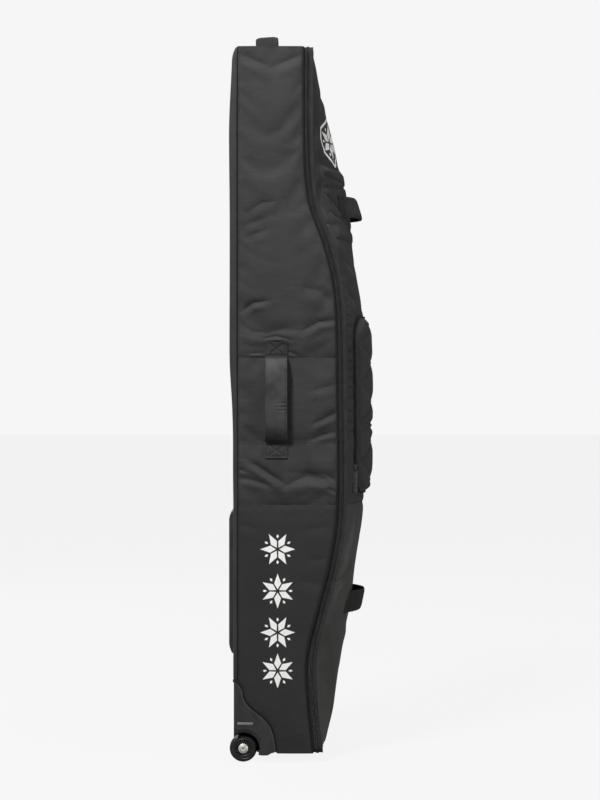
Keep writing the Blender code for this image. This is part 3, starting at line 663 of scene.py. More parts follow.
# Creases of the side walls, each a run of (x, z) points, its width and its depth
CREASES = (
    (((-0.125, 0.711), (-0.074, 0.678), (-0.035, 0.652)), 0.0075, 0.0058),
    (((-0.035, 0.652), (0.016, 0.674), (0.080, 0.660)), 0.0105, 0.0056),
    (((-0.034, 0.684), (0.030, 0.676), (0.086, 0.680)), 0.0170, 0.0034),
    (((-0.150, 0.690), (-0.128, 0.684)), 0.0040, 0.0022),
    (((-0.147, 0.668), (-0.119, 0.665), (-0.070, 0.650)), 0.0060, 0.0024),
    (((0.020, 0.757), (0.050, 0.769), (0.084, 0.778)), 0.0060, 0.0034),
    (((0.026, 0.794), (0.055, 0.808), (0.084, 0.823)), 0.0070, 0.0036),
    (((0.026, 0.874), (0.084, 0.889)), 0.0090, 0.0024),
    (((0.060, 0.676), (0.084, 0.660)), 0.0040, 0.0024),
    (((0.062, 0.645), (0.084, 0.634)), 0.0040, 0.0020),
    (((-0.092, 0.996), (-0.058, 1.002), (-0.022, 0.993)), 0.0040, 0.0036),
    (((-0.125, 0.962), (-0.085, 0.962)), 0.0030, 0.0020),
    (((-0.030, 0.966), (-0.006, 0.956)), 0.0035, 0.0022),
    (((0.002, 1.013), (0.040, 1.035), (0.082, 1.040)), 0.0075, 0.0050),
    (((-0.138, 1.062), (-0.113, 1.080), (-0.076, 1.085)), 0.0070, 0.0044),
    (((-0.149, 1.038), (-0.119, 1.014), (-0.080, 1.008), (-0.023, 1.023)), 0.0110, 0.0034),
    (((-0.124, 1.294), (-0.095, 1.314), (-0.056, 1.320)), 0.0100, 0.0030),
    (((-0.140, 1.259), (-0.086, 1.279)), 0.0100, 0.0024),
    (((-0.130, 1.235), (-0.076, 1.255)), 0.0090, 0.0022),
    (((0.001, 1.117), (0.046, 1.107), (0.075, 1.076)), 0.0120, 0.0030),
    (((-0.146, 1.668), (-0.108, 1.650), (-0.072, 1.634)), 0.0120, 0.0038),
    (((-0.072, 1.634), (-0.030, 1.650), (0.001, 1.664)), 0.0120, 0.0034),
    (((0.010, 0.474), (0.064, 0.480)), 0.0110, 0.0020),
    (((-0.006, 0.428), (0.060, 0.414)), 0.0120, 0.0022),
    (((0.000, 0.545), (0.072, 0.556)), 0.0120, 0.0018),
    (((-0.148, 0.560), (-0.100, 0.548)), 0.0100, 0.0016),
)


def crease(x, z, run, width, deep):
    """A sharp valley along a run of points, with a soft ridge on its lower side."""
    place, nearest, done = 0.0, None, 0.0
    lengths = [math.dist(a, b) for a, b in zip(run, run[1:])]
    for (a, b), length in zip(zip(run, run[1:]), lengths):
        t = ((x - a[0]) * (b[0] - a[0]) + (z - a[1]) * (b[1] - a[1])) / length**2
        t = min(max(t, 0.0), 1.0)
        near = (a[0] + (b[0] - a[0]) * t, a[1] + (b[1] - a[1]) * t)
        gap = math.dist((x, z), near)
        if nearest is None or gap < nearest:
            nearest, place, below = gap, done + t * length, z < near[1]
        done += length
    if nearest > 5 * width:
        return 0.0
    along = place / sum(lengths)
    fade = math.sin(math.pi * min(max(along, 0.03), 0.97)) ** 0.6
    ridge = 0.45 * math.exp(-(((nearest - 1.9 * width) / (1.1 * width)) ** 2)) if below else 0.0
    return FOLD_STRENGTH * deep * fade * (ridge - math.exp(-((nearest / width) ** 1.25)))


def wall_relief(x, z, side):
    """Creases and broad waves of a side wall, outwards. The right wall has its creases a little higher."""
    height = z if side < 0 else z - RIGHT_WALL_SHIFT
    relief = sum(crease(x, height, run, width, deep) for run, width, deep in CREASES)
    waves = noise.noise(Vector((x * 11, side * 3.0, z * 7))) * 0.0016
    return relief + waves + noise.noise(Vector((x * 34, side * 5.0, z * 26))) * 0.0005


def held_edge(x, z, limits):
    """0 on the border and seams of a side wall and 1 well inside it."""
    edge = min(x - side_back(z), front_edge(z) - x)
    seams = min(abs(z - s) for s in limits)
    return ease(edge, -0.002, 0.008) * beside_seam(seams)


class Surface:
    """Faces collected from several sheets, to lay other pieces on."""

    def __init__(self):
        self.points = []
        self.faces = []
        self.tree = None

    def add(self, mesh):
        first = len(self.points)
        self.points += [v.co.copy() for v in mesh.vertices]
        self.faces += [tuple(first + i for i in p.vertices) for p in mesh.polygons]

    def hit(self, origin, direction):
        self.tree = self.tree or BVHTree.FromPolygons(self.points, self.faces)
        return self.tree.ray_cast(Vector(origin), Vector(direction))[0]


def make_side(side):
    name = side_name(side)
    limits = (BASE_Z, *SIDE_SEAMS, TOP_Z)
    rows, starts = seam_rows(limits, ROW_PITCH)
    last = len(rows) - 1

    def point(u, v):
        z = rows[round(v * last)]
        back, front = side_back(z), front_edge(z)
        along = u if side < 0 else 1 - u
        x = back + (front - back) * along
        inside = math.sin(math.pi * along) ** 0.4
        between_seams = min(abs(z - s) for s in limits)
        swell = SIDE_SWELL * inside * (0.55 + 0.45 * ease(between_seams, 0, 0.05))
        pull = SEAM_PULL * near_any(z, SIDE_SEAMS, SEAM_WIDTH)
        return Vector((x, side * (HALF - 0.0002 + swell - pull), z))

    sheet = piece(f"{name}_wall", grid(SIDE_COLUMNS, last, point), WEAVE)

    def pin(co):
        edge = min(co.x - side_back(co.z), front_edge(co.z) - co.x)
        rim = edge < HELD_RIM or co.z < BASE_Z + HELD_RIM or co.z > TOP_Z - HELD_RIM
        firm = 1.0 if rim else 0.0
        seam = near_any(co.z, SIDE_SEAMS, SEAM_WIDTH)
        anchors = near_any(co.z, (HANDLE_LOW.z + ANCHOR_INSET, HANDLE_HIGH.z - ANCHOR_INSET), ANCHOR_REACH)
        patch = anchors if HANDLE_LOW.x - 0.006 < co.x < HANDLE_HIGH.x + 0.006 else 0.0
        stiff = LOWER_WALL_HOLD if co.z < SEAM_LOW else WALL_HOLD
        return min(max(firm, seam, patch, stiff), 1.0)

    relax(sheet, pin, **WALL_CLOTH)
    surface = side_surfaces[side] = Surface()
    for part, first, stop, look in (
        ("lower", starts[0], starts[1], COATED), ("middle", starts[1], starts[3], WEAVE),
        ("upper", starts[3], starts[4], WEAVE),
    ):
        skin = piece(f"{name}_{part}_side_skin", cut_rows(sheet, SIDE_COLUMNS, first, stop), look)
        add_subdivision(skin, SKIN_LEVELS)
        apply_modifiers(skin)
        calm = LOWER_WALL_RELIEF if part == "lower" else 1.0
        for vert in skin.data.vertices:
            x, z = vert.co.x, vert.co.z
            held = held_edge(x, z, limits)
            out = abs(vert.co.y) + wall_relief(x, z, side) * held * calm
            vert.co.y = side * max(out, HALF - DEEPEST_FOLD)
        surface.add(skin.data)
        thicken(skin, SKIN)
        settle(skin, "bag", [f"{name}_{part}_side_panel"])
    bpy.data.objects.remove(sheet, do_unlink=True)
    runs = []
    for seam, step in ((SEAM_LOW, -STITCH_INSET), (SEAM_HANDLE, -STITCH_INSET), (SEAM_HIGH, STITCH_INSET)):
        z = seam + step
        runs.append([on_side(side, x, z) for x in between(side_back(z) + 0.006, front_edge(z) - 0.006, 80)])
    heights = between(HOUSING_TOP + 0.01, TOP_Z - 0.01, 300)
    runs.append([on_side(side, BACK_SEAM_X + 0.0045, z) for z in heights])
    piece(f"{name}_wall_stitching", stitches(runs), THREAD, "bag")


def on_side(side, x, z, lift=LAID_ON):
    """Point on the side wall's outer face."""
    hit = side_surfaces[side].hit((x, side * (HALF + 0.05), z), (0, -side, 0))
    y = abs(hit.y) if hit else HALF
    return Vector((x, side * (y + lift), z))


# Back, ends and inside


CORNER_RADIUS = 0.010
BACK_SWELL = 0.002
BACK_WAVE = 0.0016
LOWER_BACK_THICK = 0.004
HEM_THICK = 0.0012
LINING_PITCH = 0.12
LINING_PUFF = 0.0012
INNER_WALL_IN = 0.0084
INNER_WALL_THICK = 0.004


def back_line(z):
    """x of the back's outer face, which leans out in the upper half and in below, with a rounded top."""
    lean = -0.0038 * ease(z, 0.82, 0.98)
    waist = 0.0052 * (1 - ease(z, 0.74, 0.95))
    corner = 0.0080 * ease(z, 1.47, 1.71) + 0.0080 * ease(z, TOP_Z - 0.028, TOP_Z) ** 2
    return BACK_X + lean + waist + corner


def foot_line(z):
    """x of the back below the main back panel, which slants in towards the wheels."""
    return back_line(HOUSING_TOP) + 0.0060 * ease(z, 0.27, 0.04)


def make_back():
    rows = seam_rows((HOUSING_TOP + 0.001, SEAM_LOW + 0.02, TOP_Z), 0.012)[0]
    radius = CORNER_RADIUS
    corner = [(0.0, HALF)] + arc((radius, HALF - radius), radius, 90, 180, 7)
    flat = [(0.0, y) for y in between(HALF - radius, radius - HALF, 24)[1:-1]]
    path = corner + flat + [(x, -y) for x, y in reversed(corner)]
    last_row, last = len(rows) - 1, len(path) - 1

    def point(u, v):
        i = round(u * last)
        x, y = path[i]
        z = rows[round(v * last_row)]
        if i in (0, last):
            return Vector((BACK_SEAM_X, y, z))
        swell = BACK_SWELL * math.cos(min(abs(y) / HALF, 1) * math.pi / 2) * ease(z, 0.60, 0.72)
        wave = noise.noise(Vector((y * 8, 7.7, z * 4))) * BACK_WAVE * ease(z, 0.60, 0.66)
        behind = ease(radius - x, 0, radius)
        return Vector((back_line(z) + x + behind * (wave - swell), y, z))

    skin = piece("back_skin", grid(last, last_row, point), WEAVE)
    thicken(skin, SKIN, levels=1)
    settle(skin, "bag", ["back_panel"])
    low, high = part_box("lower_back_panel")

    def low_point(u, v):
        z = low.z + (high.z - low.z) * v
        return Vector((foot_line(z), high.y * (2 * u - 1), z))

    skin = piece("lower_back_skin", grid(30, 24, low_point), COATED)
    thicken(skin, LOWER_BACK_THICK, 1.0)
    settle(skin, "bag", ["lower_back_panel"])

    def hem(u, v):
        z = HOUSING_TOP - 0.006 + 0.030 * v
        return Vector((back_line(HOUSING_TOP) + SKIN + HEM_THICK, (HALF - 0.006) * (2 * u - 1), z))

    tuck = piece("back_hem", grid(30, 6, hem), COATED)
    thicken(tuck, HEM_THICK)
    settle(tuck, "bag")


def make_top_end():
    start, end = BACK_X + 0.006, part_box("top_end_panel")[1].x

    def top_point(u, v):
        x = start + u * (end - start)
        y = (2 * v - 1) * (HALF - 0.0035)
        round_off = min(ease(u, 0, 0.14), ease(1 - abs(2 * v - 1), 0, 0.06))
        wave = noise.noise(Vector((x * 14, y * 12, 2.2))) * 0.0012
        drop = 0.010 * (1 - ease(u, 0, 0.22)) + 0.002 * (1 - round_off)
        return Vector((x, y, TOP_Z - drop + (0.0012 + wave) * round_off))

    top = piece("top_end_skin", grid(24, 36, top_point), WEAVE)
    thicken(top, SKIN, levels=1)
    settle(top, "bag", ["top_end_panel"])


def make_well_liner(side):
    """Cloth that closes the bag's inside round a wheel housing: a cheek, a hem and a base patch."""
    name = side_name(side)
    inner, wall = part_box("right_wheel_housing")[0].y, HALF - SKIN
    floor, back, front = BASE_Z + 0.0042, BACK_X + 0.0045, HOUSING_CONTOUR[-1][0]
    heights = between(floor, HOUSING_TOP + 0.003, 60)
    contour = [(max(smooth(HOUSING_EDGE, z) + 0.003, back + 0.001), z) for z in heights]
    cheek_outline = contour + [(back, z) for z in reversed(heights)]
    cheek = loft([[Vector((x, y, z)) for x, z in cheek_outline] for y in (inner - 0.0016, inner - 0.0002)])
    patch_low = (back, inner - 0.0010, floor - 0.0002)
    patch_high = (front + 0.012, wall, floor + 0.0010)
    merge(cheek, box_bm(patch_low, patch_high, 0.0004, 1))

    def hem(u, v):
        z = heights[round(v * 59)]
        edge = max(smooth(HOUSING_EDGE, z), back)
        return Vector((max(edge - 0.006, back) + 0.018 * u, wall - 0.0002, z))

    strip = piece("hem", grid(4, 59, hem), COATED)
    thicken(strip, HEM_THICK)
    cheek.from_mesh(strip.data)
    bpy.data.objects.remove(strip, do_unlink=True)
    bmesh.ops.transform(cheek, matrix=Matrix.Scale(side, 4, (0, 1, 0)), verts=cheek.verts)
    bmesh.ops.recalc_face_normals(cheek, faces=cheek.faces)
    piece(f"{name}_well_liner", cheek, COATED, "bag")


def channels(z):
    """0 on the sewn lines across a quilted lining, and up to 1 between them."""
    return abs(math.sin(math.pi * z / LINING_PITCH)) ** 0.5


def make_inside():
    """Quilted inner walls that line the side paddings, the back and the lid."""
    for side in (LEFT, RIGHT):
        name = side_name(side)
        low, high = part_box(f"{name}_side_padding")
        rows = between(low.z, high.z, 90)

        def point(u, v, side=side, low=low, rows=rows):
            z = rows[round(v * (len(rows) - 1))]
            along = u if side > 0 else 1 - u
            x = low.x + (front_edge(z) - 0.004 - low.x) * along
            quilt = LINING_PUFF * channels(z) * ease(min(u, 1 - u), 0, 0.1)
            return Vector((x, side * (HALF - INNER_WALL_IN - quilt), z))

        pad = piece(f"{name}_inner_wall", grid(16, 89, point), LINING)
        thicken(pad, INNER_WALL_THICK)
        settle(pad, "bag", [f"{name}_side_padding"])
    low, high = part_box("back_stiffener_board")

    def back_point(u, v):
        y = low.y + (high.y - low.y) * u
        z = low.z + (high.z - low.z) * v
        quilt = LINING_PUFF * channels(z) * ease(min(u, 1 - u), 0, 0.08)
        return Vector((back_line(z) + SKIN + 0.0026 + quilt, y, z))

    back = piece("back_lining", grid(20, 120, back_point), LINING)
    thicken(back, 0.002)
    settle(back, "bag", ["back_stiffener_board"])

    def lid_point(u, v):
        y = (2 * u - 1) * (HALF - 0.010)
        z = BASE_Z + 0.030 + v * (TOP_Z - BASE_Z - 0.060)
        quilt = 0.0015 * channels(z)
        return Vector((lid_x(y, z) - 0.0095 - quilt, y, z))

    lid = piece("lid_inner_lining", grid(26, 130, lid_point), LINING)
    thicken(lid, 0.0015)
    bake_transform(lid)
    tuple(HINGE_START)
    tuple(HINGE_END)
    finish_piece(["lid_lining"])


# Lid

HINGE_START, HINGE_END = (0.1, HALF - 0.002, 0.8), (0.1, HALF - 0.030, 0.8)
LID_EDGE = 0.0008
LID_SEAMS = (LID_SEAM_LOW, LID_SEAM_HIGH)
LID_SEAM_PULL = 0.0016
LID_COLUMNS = 40
PATCH_LOW, PATCH_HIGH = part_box("upper_loop_patch")
PATCH_HALF = 0.149
PATCH_SEWN_END = 0.130
LID_SEWN_HALF = 0.150
LID_SURFACE = Surface()
# How firmly the simulation holds the free cloth, and the cloth under the pocket and the patch
LID_HOLD, COVERED_HOLD = 0.02, 0.98
COVERED_RELIEF = 0.2
LID_CLOTH = {"frames": 14, "pressure": 0.5, "growth": 0.010, "cap": 0.003, "gravity": 0.2, "bending": 2.0}
GATHER_PITCH = 0.024


def half_width(z, inset):
    radius = END_CORNER - inset
    into = END_CORNER - min(z - BASE_Z, TOP_Z - z)
    if into <= 0:
        return HALF - inset
    return HALF - END_CORNER + math.sqrt(max(radius**2 - into**2, 0.0))


def lid_rows():
    radius = END_CORNER - LID_EDGE
    turn = [LID_EDGE + radius * (1 - math.cos(math.radians(a))) for a in (0, 15, 30, 45, 60, 75, 90)]
    low = [BASE_Z + t for t in turn]
    high = [TOP_Z - t for t in reversed(turn)]
    middle, starts = seam_rows((low[-1], LID_SEAM_LOW, LID_SEAM_HIGH, high[0]), ROW_PITCH)
    shift = len(low) - 1
    return low + middle[1:] + high[1:], [0] + [s + shift for s in starts[1:3]]


LID_CREASES = (
    (((-0.128, 1.188), (-0.090, 1.168), (-0.040, 1.176)), 0.0100, 0.0032),
    (((-0.140, 1.110), (-0.100, 1.090)), 0.0070, 0.0026),
    (((-0.112, 0.596), (-0.132, 0.490), (-0.156, 0.370)), 0.0075, 0.0066),
    (((-0.080, 0.470), (-0.122, 0.436), (-0.156, 0.408)), 0.0070, 0.0048),
    (((-0.140, 0.350), (-0.110, 0.290), (-0.085, 0.250)), 0.0080, 0.0036),
    (((-0.120, 0.330), (-0.060, 0.300), (0.010, 0.310)), 0.0120, 0.0034),
    (((-0.130, 0.230), (-0.100, 0.150)), 0.0120, 0.0026),
    (((-0.110, 1.560), (-0.060, 1.590), (0.020, 1.585)), 0.0120, 0.0030),
    (((0.030, 0.520), (0.090, 0.480), (0.140, 0.500)), 0.0130, 0.0036),
    (((0.040, 1.180), (0.090, 1.150), (0.140, 1.165)), 0.0100, 0.0030),
    (((0.060, 0.260), (0.120, 0.230)), 0.0120, 0.0030),
)


def lid_relief(y, z):
    """Creases, broad waves, and the gathers beside the pocket."""
    relief = sum(crease(y, z, run, width, deep) for run, width, deep in LID_CREASES)
    relief += noise.noise(Vector((3.3, y * 9, z * 8))) * 0.0026
    relief += noise.noise(Vector((9.3, y * 30, z * 24))) * 0.0006
    wander = 0.7 * math.sin(z * 41) + y * 12
    gathers = math.exp(-((math.sin(z * math.pi / GATHER_PITCH + wander) / 0.30) ** 2))
    strip = ease(HALF - abs(y), 0.002, 0.010) * (1 - ease(HALF - abs(y), 0.024, 0.036))
    return relief - 0.0038 * gathers * strip * ease(z, 0.72, 0.80) * (1 - ease(z, 1.04, 1.10))


def make_lid():
    rows, starts = lid_rows()
    last = len(rows) - 1
    starts.append(last)

    def point(u, v):
        z = rows[round(v * last)]
        y = (2 * u - 1) * half_width(z, LID_EDGE)
        seam = LID_SEAM_PULL * near_any(z, LID_SEAMS, SEAM_WIDTH)
        return Vector((lid_x(y, z) - seam, y, z))

    sheet = piece("lid_sheet", grid(LID_COLUMNS, last, point), WEAVE)

    def pin(co):
        rim = half_width(co.z, LID_EDGE) - abs(co.y)
        firm = 1.0 if rim < HELD_RIM or min(co.z - BASE_Z, TOP_Z - co.z) < 2 * HELD_RIM else 0.0
        seam = near_any(co.z, LID_SEAMS, SEAM_WIDTH)
        under = POCKET_LOW.y < co.y < POCKET_HIGH.y and POCKET_LOW.z < co.z < POCKET_HIGH.z
        patch = PATCH_LOW.y < co.y < PATCH_HIGH.y and PATCH_LOW.z < co.z < PATCH_HIGH.z
        return min(max(firm, seam, COVERED_HOLD * (under or patch), LID_HOLD), 1.0)

    relax(sheet, pin, **LID_CLOTH)
    for part, look, first, stop in (
        ("lower", LID_COATED_PAINTED_LIGHT, starts[0], starts[1]), ("middle", WEAVE, starts[1], starts[2]),
        ("upper", WEAVE, starts[2], starts[3]),
    ):
        skin = piece(f"lid_{part}_skin", cut_rows(sheet, LID_COLUMNS, first, stop), look)
        add_subdivision(skin, SKIN_LEVELS)
        apply_modifiers(skin)
        for vert in skin.data.vertices:
            y, z = vert.co.y, vert.co.z
            rim = min(half_width(z, LID_EDGE) - abs(y), z - BASE_Z, TOP_Z - z)
            seams = min(abs(z - seam) for seam in LID_SEAMS)
            held = ease(rim, 0, 0.010) * beside_seam(seams)
            covered = POCKET_LOW.y - 0.006 < y < POCKET_HIGH.y + 0.006 and POCKET_LOW.z < z < POCKET_HIGH.z
            vert.co.x += lid_relief(y, z) * held * (COVERED_RELIEF if covered else 1.0)
        LID_SURFACE.add(skin.data)
        thicken(skin, SKIN)
        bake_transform(skin)
        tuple(HINGE_START)
        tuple(HINGE_END)
        finish_piece([f"lid_{part}_panel"])
    bpy.data.objects.remove(sheet, do_unlink=True)
    runs = []
    for seam in LID_SEAMS:
        for step in (-STITCH_INSET, STITCH_INSET):
            runs.append([on_lid(y, seam + step) for y in between(-LID_SEWN_HALF, LID_SEWN_HALF, 120)])
    sewing = piece("lid_stitching", stitches(runs), THREAD)
    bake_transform(sewing)
    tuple(HINGE_START)
    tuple(HINGE_END)
    finish_piece()


def on_lid(y, z, lift=LAID_ON):
    """Point on the lid's outer face."""
    hit = LID_SURFACE.hit((0.4, y, z), (-1, 0, 0))
    return Vector(((hit.x if hit else lid_x(y, z)) + lift, y, z))


# Zipper band

TOOTH_LOW = (-0.0016, -0.00062, -0.0009)
TOOTH_HIGH = (0.0018, 0.00062, 0.0009)
TOOTH_PITCH = 0.0021
TEETH_OUT = 0.0007
FRONT_CORD = 0.0027
BACK_CORD = 0.0014


def zip_path(offset, corner_points=9, side_points=150):
    radius = END_CORNER + offset
    flank = HALF - END_CORNER
    low, high = BASE_Z + END_CORNER, TOP_Z - END_CORNER
    path = [(y, BASE_Z - offset) for y in between(flank, -flank, 24)[:-1]]
    path += arc((-flank, low), radius, -90, -180, corner_points)
    path += [(-HALF - offset, z) for z in between(low, high, side_points)[1:-1]]
    path += arc((-flank, high), radius, 180, 90, corner_points)
    return path + [(y, TOP_Z + offset) for y in between(-flank, flank, 24)[1:]]


def hinge_path(offset):
    radius = END_CORNER + offset
    flank = HALF - END_CORNER
    low, high = BASE_Z + END_CORNER, TOP_Z - END_CORNER
    path = arc((flank, high), radius, 88, 0, 9)
    path += [(HALF + offset, z) for z in between(high, low, 120)[1:-1]]
    return path + arc((flank, low), radius, 0, -88, 9)


def band(name, path, start, stop, body, nodes, hem=None):
    """A strip of tape from one x offset to another, with a raised hem on one edge."""
    last = len(path) - 1

    def point(u, v):
        y, z = path[round(u * last)]
        rise = 0.0 if hem is None else 0.0005 * near_any(v, (hem,), 0.34)
        core_y = max(min(y, HALF - END_CORNER), END_CORNER - HALF)
        core_z = max(min(z, TOP_Z - END_CORNER), BASE_Z + END_CORNER)
        out = (Vector((0, y, z)) - Vector((0, core_y, core_z))).normalized()
        return Vector((front_edge(z) + stop + (start - stop) * v, y, z)) + out * rise

    strip = piece(name, grid(last, 6, point), TAPE)
    thicken(strip, TAPE_THICK)
    settle(strip, body, nodes)


def teeth(path, x_offset, lean):
    """Coil teeth along a path, each a small bent wire that points at the middle of the zipper."""
    bm = bmesh.new()
    points = [Vector((front_edge(z) + x_offset, y, z)) for y, z in path]
    place = 0.0
    tooth_mesh = bpy.data.meshes.new("tooth")
    tooth = box_bm(TOOTH_LOW, TOOTH_HIGH, 0.0004, 1)
    tooth.to_mesh(tooth_mesh)
    tooth.free()
    for a, b in zip(points, points[1:]):
        span = (b - a).length
        along = (b - a).normalized()
        across = Vector((lean, 0, 0))
        across = (across - along * across.dot(along)).normalized()
        out = across.cross(along)
        while place < span:
            turn = Matrix((across, along, out)).transposed().to_4x4()
            turn.translation = a + along * place
            add_copy(bm, tooth_mesh, turn)
            place += TOOTH_PITCH
        place -= span
    bpy.data.meshes.remove(tooth_mesh)
    return bm


def make_zipper():
    outline = zip_path(0.0)
    band("zipper_tape_bag_cloth", outline, TAPE_BAG_START, TAPE_BAG_END, "bag", ["zipper_tape_bag"])
    band("zipper_tape_lid_cloth", outline, TAPE_LID_START, TAPE_LID_END, "lid", ["zipper_tape_lid"], hem=0.0)
    fold, fold_end = hinge_path(0.0), TAPE_LID_END - 0.001
    band("hinge_strip_cloth", fold, TAPE_BAG_START, fold_end, "bag", ["hinge_strip"], hem=0.0)
    coil = zip_path(TEETH_OUT)
    piece("zipper_teeth_bag", teeth(coil, BAG_COIL_X, 1), COIL, "bag", ["zipper_coil_bag"])
    piece("zipper_teeth_lid", teeth(coil, LID_COIL_X, -1), COIL, "lid", ["zipper_coil_lid"])
    for side in (LEFT, RIGHT):
        name = side_name(side)
        y = side * (HALF + 0.0010)
        line = [(front_edge(z) - 0.0002, y, z) for z in between(BASE_Z + 0.003, TOP_Z - 0.002, 200)]
        piece(f"{name}_front_cord", sweep(line, FRONT_CORD, 10), CORD_AND_GAP_SHADE, "bag", [f"{name}_front_piping"])
        heights = between(HOUSING_TOP + 0.004, TOP_Z - 0.006, 80)
        line = [(BACK_SEAM_X, side * (HALF + 0.0004), z) for z in heights]
        piece(f"{name}_back_cord", sweep(line, BACK_CORD, 8), CORD_AND_GAP_SHADE, "bag", [f"{name}_back_piping"])


# Straps, patch and loops


def strap(name, columns, rows, point, thickness, body, nodes=(), look=STRAP, offset=-1.0):
    item = piece(name, grid(columns, rows, point), look)
    thicken(item, thickness, offset, edge=0.0009)
    settle(item, body, nodes)


def box_stitch(low, high, inset=0.005, count=14):
    """A sewn box with its two diagonals, as runs of (a, b) points inside low and high corners."""
    a0, b0, a1, b1 = low[0] + inset, low[1] + inset, high[0] - inset, high[1] - inset
    corners = [(a0, b0), (a1, b0), (a1, b1), (a0, b1), (a0, b0)]
    lines = list(zip(corners, corners[1:])) + [((a0, b0), (a1, b1)), ((a1, b0), (a0, b1))]
    return [list(zip(between(p[0], q[0], count), between(p[1], q[1], count))) for p, q in lines]


def line_gap(x, z, runs):
    """Distance from a point to the nearest of the straight runs."""
    best = 1.0
    for run in runs:
        a, b = run[0], run[-1]
        length = math.dist(a, b)
        t = min(max(((x - a[0]) * (b[0] - a[0]) + (z - a[1]) * (b[1] - a[1])) / length**2, 0.0), 1.0)
        best = min(best, math.dist((x, z), (a[0] + (b[0] - a[0]) * t, a[1] + (b[1] - a[1]) * t)))
    return best


HANDLE_MIDDLE = (HANDLE_LOW.z + HANDLE_HIGH.z) / 2
HANDLE_X = (HANDLE_LOW.x + HANDLE_HIGH.x) / 2
HANDLE_FREE = 0.1025
HANDLE_RISE = 0.0235
GRIP_HALF_LENGTH = 0.0965
GRIP_HALF_WIDTH = 0.0258
GRIP_HALF_THICK = 0.0042
GRIP_LIFT = 0.0017
GRIP_SEWN_X, GRIP_SEWN_HALF = 0.0215, 0.092
GRIP_WRINKLES = (0.828, 0.836, 0.845)
ANCHOR_LOW_TOP, ANCHOR_HIGH_BASE = 0.7525, 0.9525


def handle_out(side, x, z):
    """Distance from the bag's middle plane to the inner face of the handle's strap."""
    fraction = min(abs(z - HANDLE_MIDDLE) / HANDLE_FREE, 1.0)
    return max(abs(on_side(side, x, z).y) + 0.0002, HALF + HANDLE_RISE * (1 - fraction**6))


def make_side_handle(side):
    name = side_name(side)
    low_x, high_x = HANDLE_LOW.x, HANDLE_HIGH.x
    sewn = []
    for end, z0, z1 in (("low", HANDLE_LOW.z, ANCHOR_LOW_TOP), ("high", ANCHOR_HIGH_BASE, HANDLE_HIGH.z)):
        runs = box_stitch((low_x, z0), (high_x, z1), STITCH_INSET)

        def anchor(u, v, z0=z0, z1=z1, runs=runs):
            along = u if side < 0 else 1 - u
            x, z = low_x + (high_x - low_x) * along, z0 + (z1 - z0) * v
            dent = 0.0013 * math.exp(-((line_gap(x, z, runs) / 0.0020) ** 2))
            return on_side(side, x, z, 0.0032 - dent)

        strap(f"{name}_handle_{end}_anchor", 40, 30, anchor, 0.0030, "bag", look=WEAVE)
        sewn += [[on_side(side, x, z, 0.0021) for x, z in run] for run in runs]
    piece(f"{name}_handle_stitching", stitches(sewn), THREAD, "bag")
    heights = between(HANDLE_MIDDLE - HANDLE_FREE - 0.006, HANDLE_MIDDLE + HANDLE_FREE + 0.006, 61)

    def middle(u, v):
        along = u if side < 0 else 1 - u
        z = heights[round(v * 60)]
        x = low_x + (high_x - low_x) * along
        return Vector((x, side * (handle_out(side, HANDLE_X, z) + 0.0030), z))

    strap(f"{name}_handle_strap", 12, 60, middle, STRAP_THICK, "bag", [f"{name}_handle_webbing"])
    rings = []
    for z in between(HANDLE_MIDDLE - GRIP_HALF_LENGTH, HANDLE_MIDDLE + GRIP_HALF_LENGTH, 121):
        end = 1 - ease(GRIP_HALF_LENGTH - abs(z - HANDLE_MIDDLE), 0, 0.004)
        centre = handle_out(side, HANDLE_X, z) + GRIP_LIFT
        ring = []
        for k in range(72):
            a = 2 * math.pi * k / 72
            c, s = math.cos(a), math.sin(a)
            x = GRIP_HALF_WIDTH * math.copysign(abs(c) ** 0.35, c) * (1 - 0.02 * end)
            out = GRIP_HALF_THICK * math.copysign(abs(s) ** 0.55, s) * (1 - 0.35 * end)
            slant = 0.10 * (x - 0.02)
            wrinkle = sum(math.exp(-(((z - h - slant) / 0.0016) ** 2)) for h in GRIP_WRINKLES)
            out -= 0.0012 * wrinkle * ease(x, -0.002, 0.014) * max(s, 0)
            out += 0.0005 * noise.noise(Vector((x * 60, side * 2.0, z * 40)))
            ring.append(Vector((HANDLE_X + x, side * (centre + out), z)))
        rings.append(ring)
    grip = piece(f"{name}_grip_sleeve", loft(rings), GRIP)
    settle(grip, "bag", [f"{name}_handle_grip"])
    runs = []
    for x in (-GRIP_SEWN_X, GRIP_SEWN_X):
        run = []
        for z in between(HANDLE_MIDDLE - GRIP_SEWN_HALF, HANDLE_MIDDLE + GRIP_SEWN_HALF, 80):
            out = handle_out(side, HANDLE_X, z) + GRIP_LIFT + GRIP_HALF_THICK * 0.93
            run.append(Vector((HANDLE_X + x, side * out, z)))
        runs.append(run)
    piece(f"{name}_grip_stitching", stitches(runs), THREAD, "bag")


TOP_HANDLE_LOW, TOP_HANDLE_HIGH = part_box("top_grab_handle")
TOP_HANDLE_FREE = 0.089
TOP_SLEEVE_HALF = 0.062


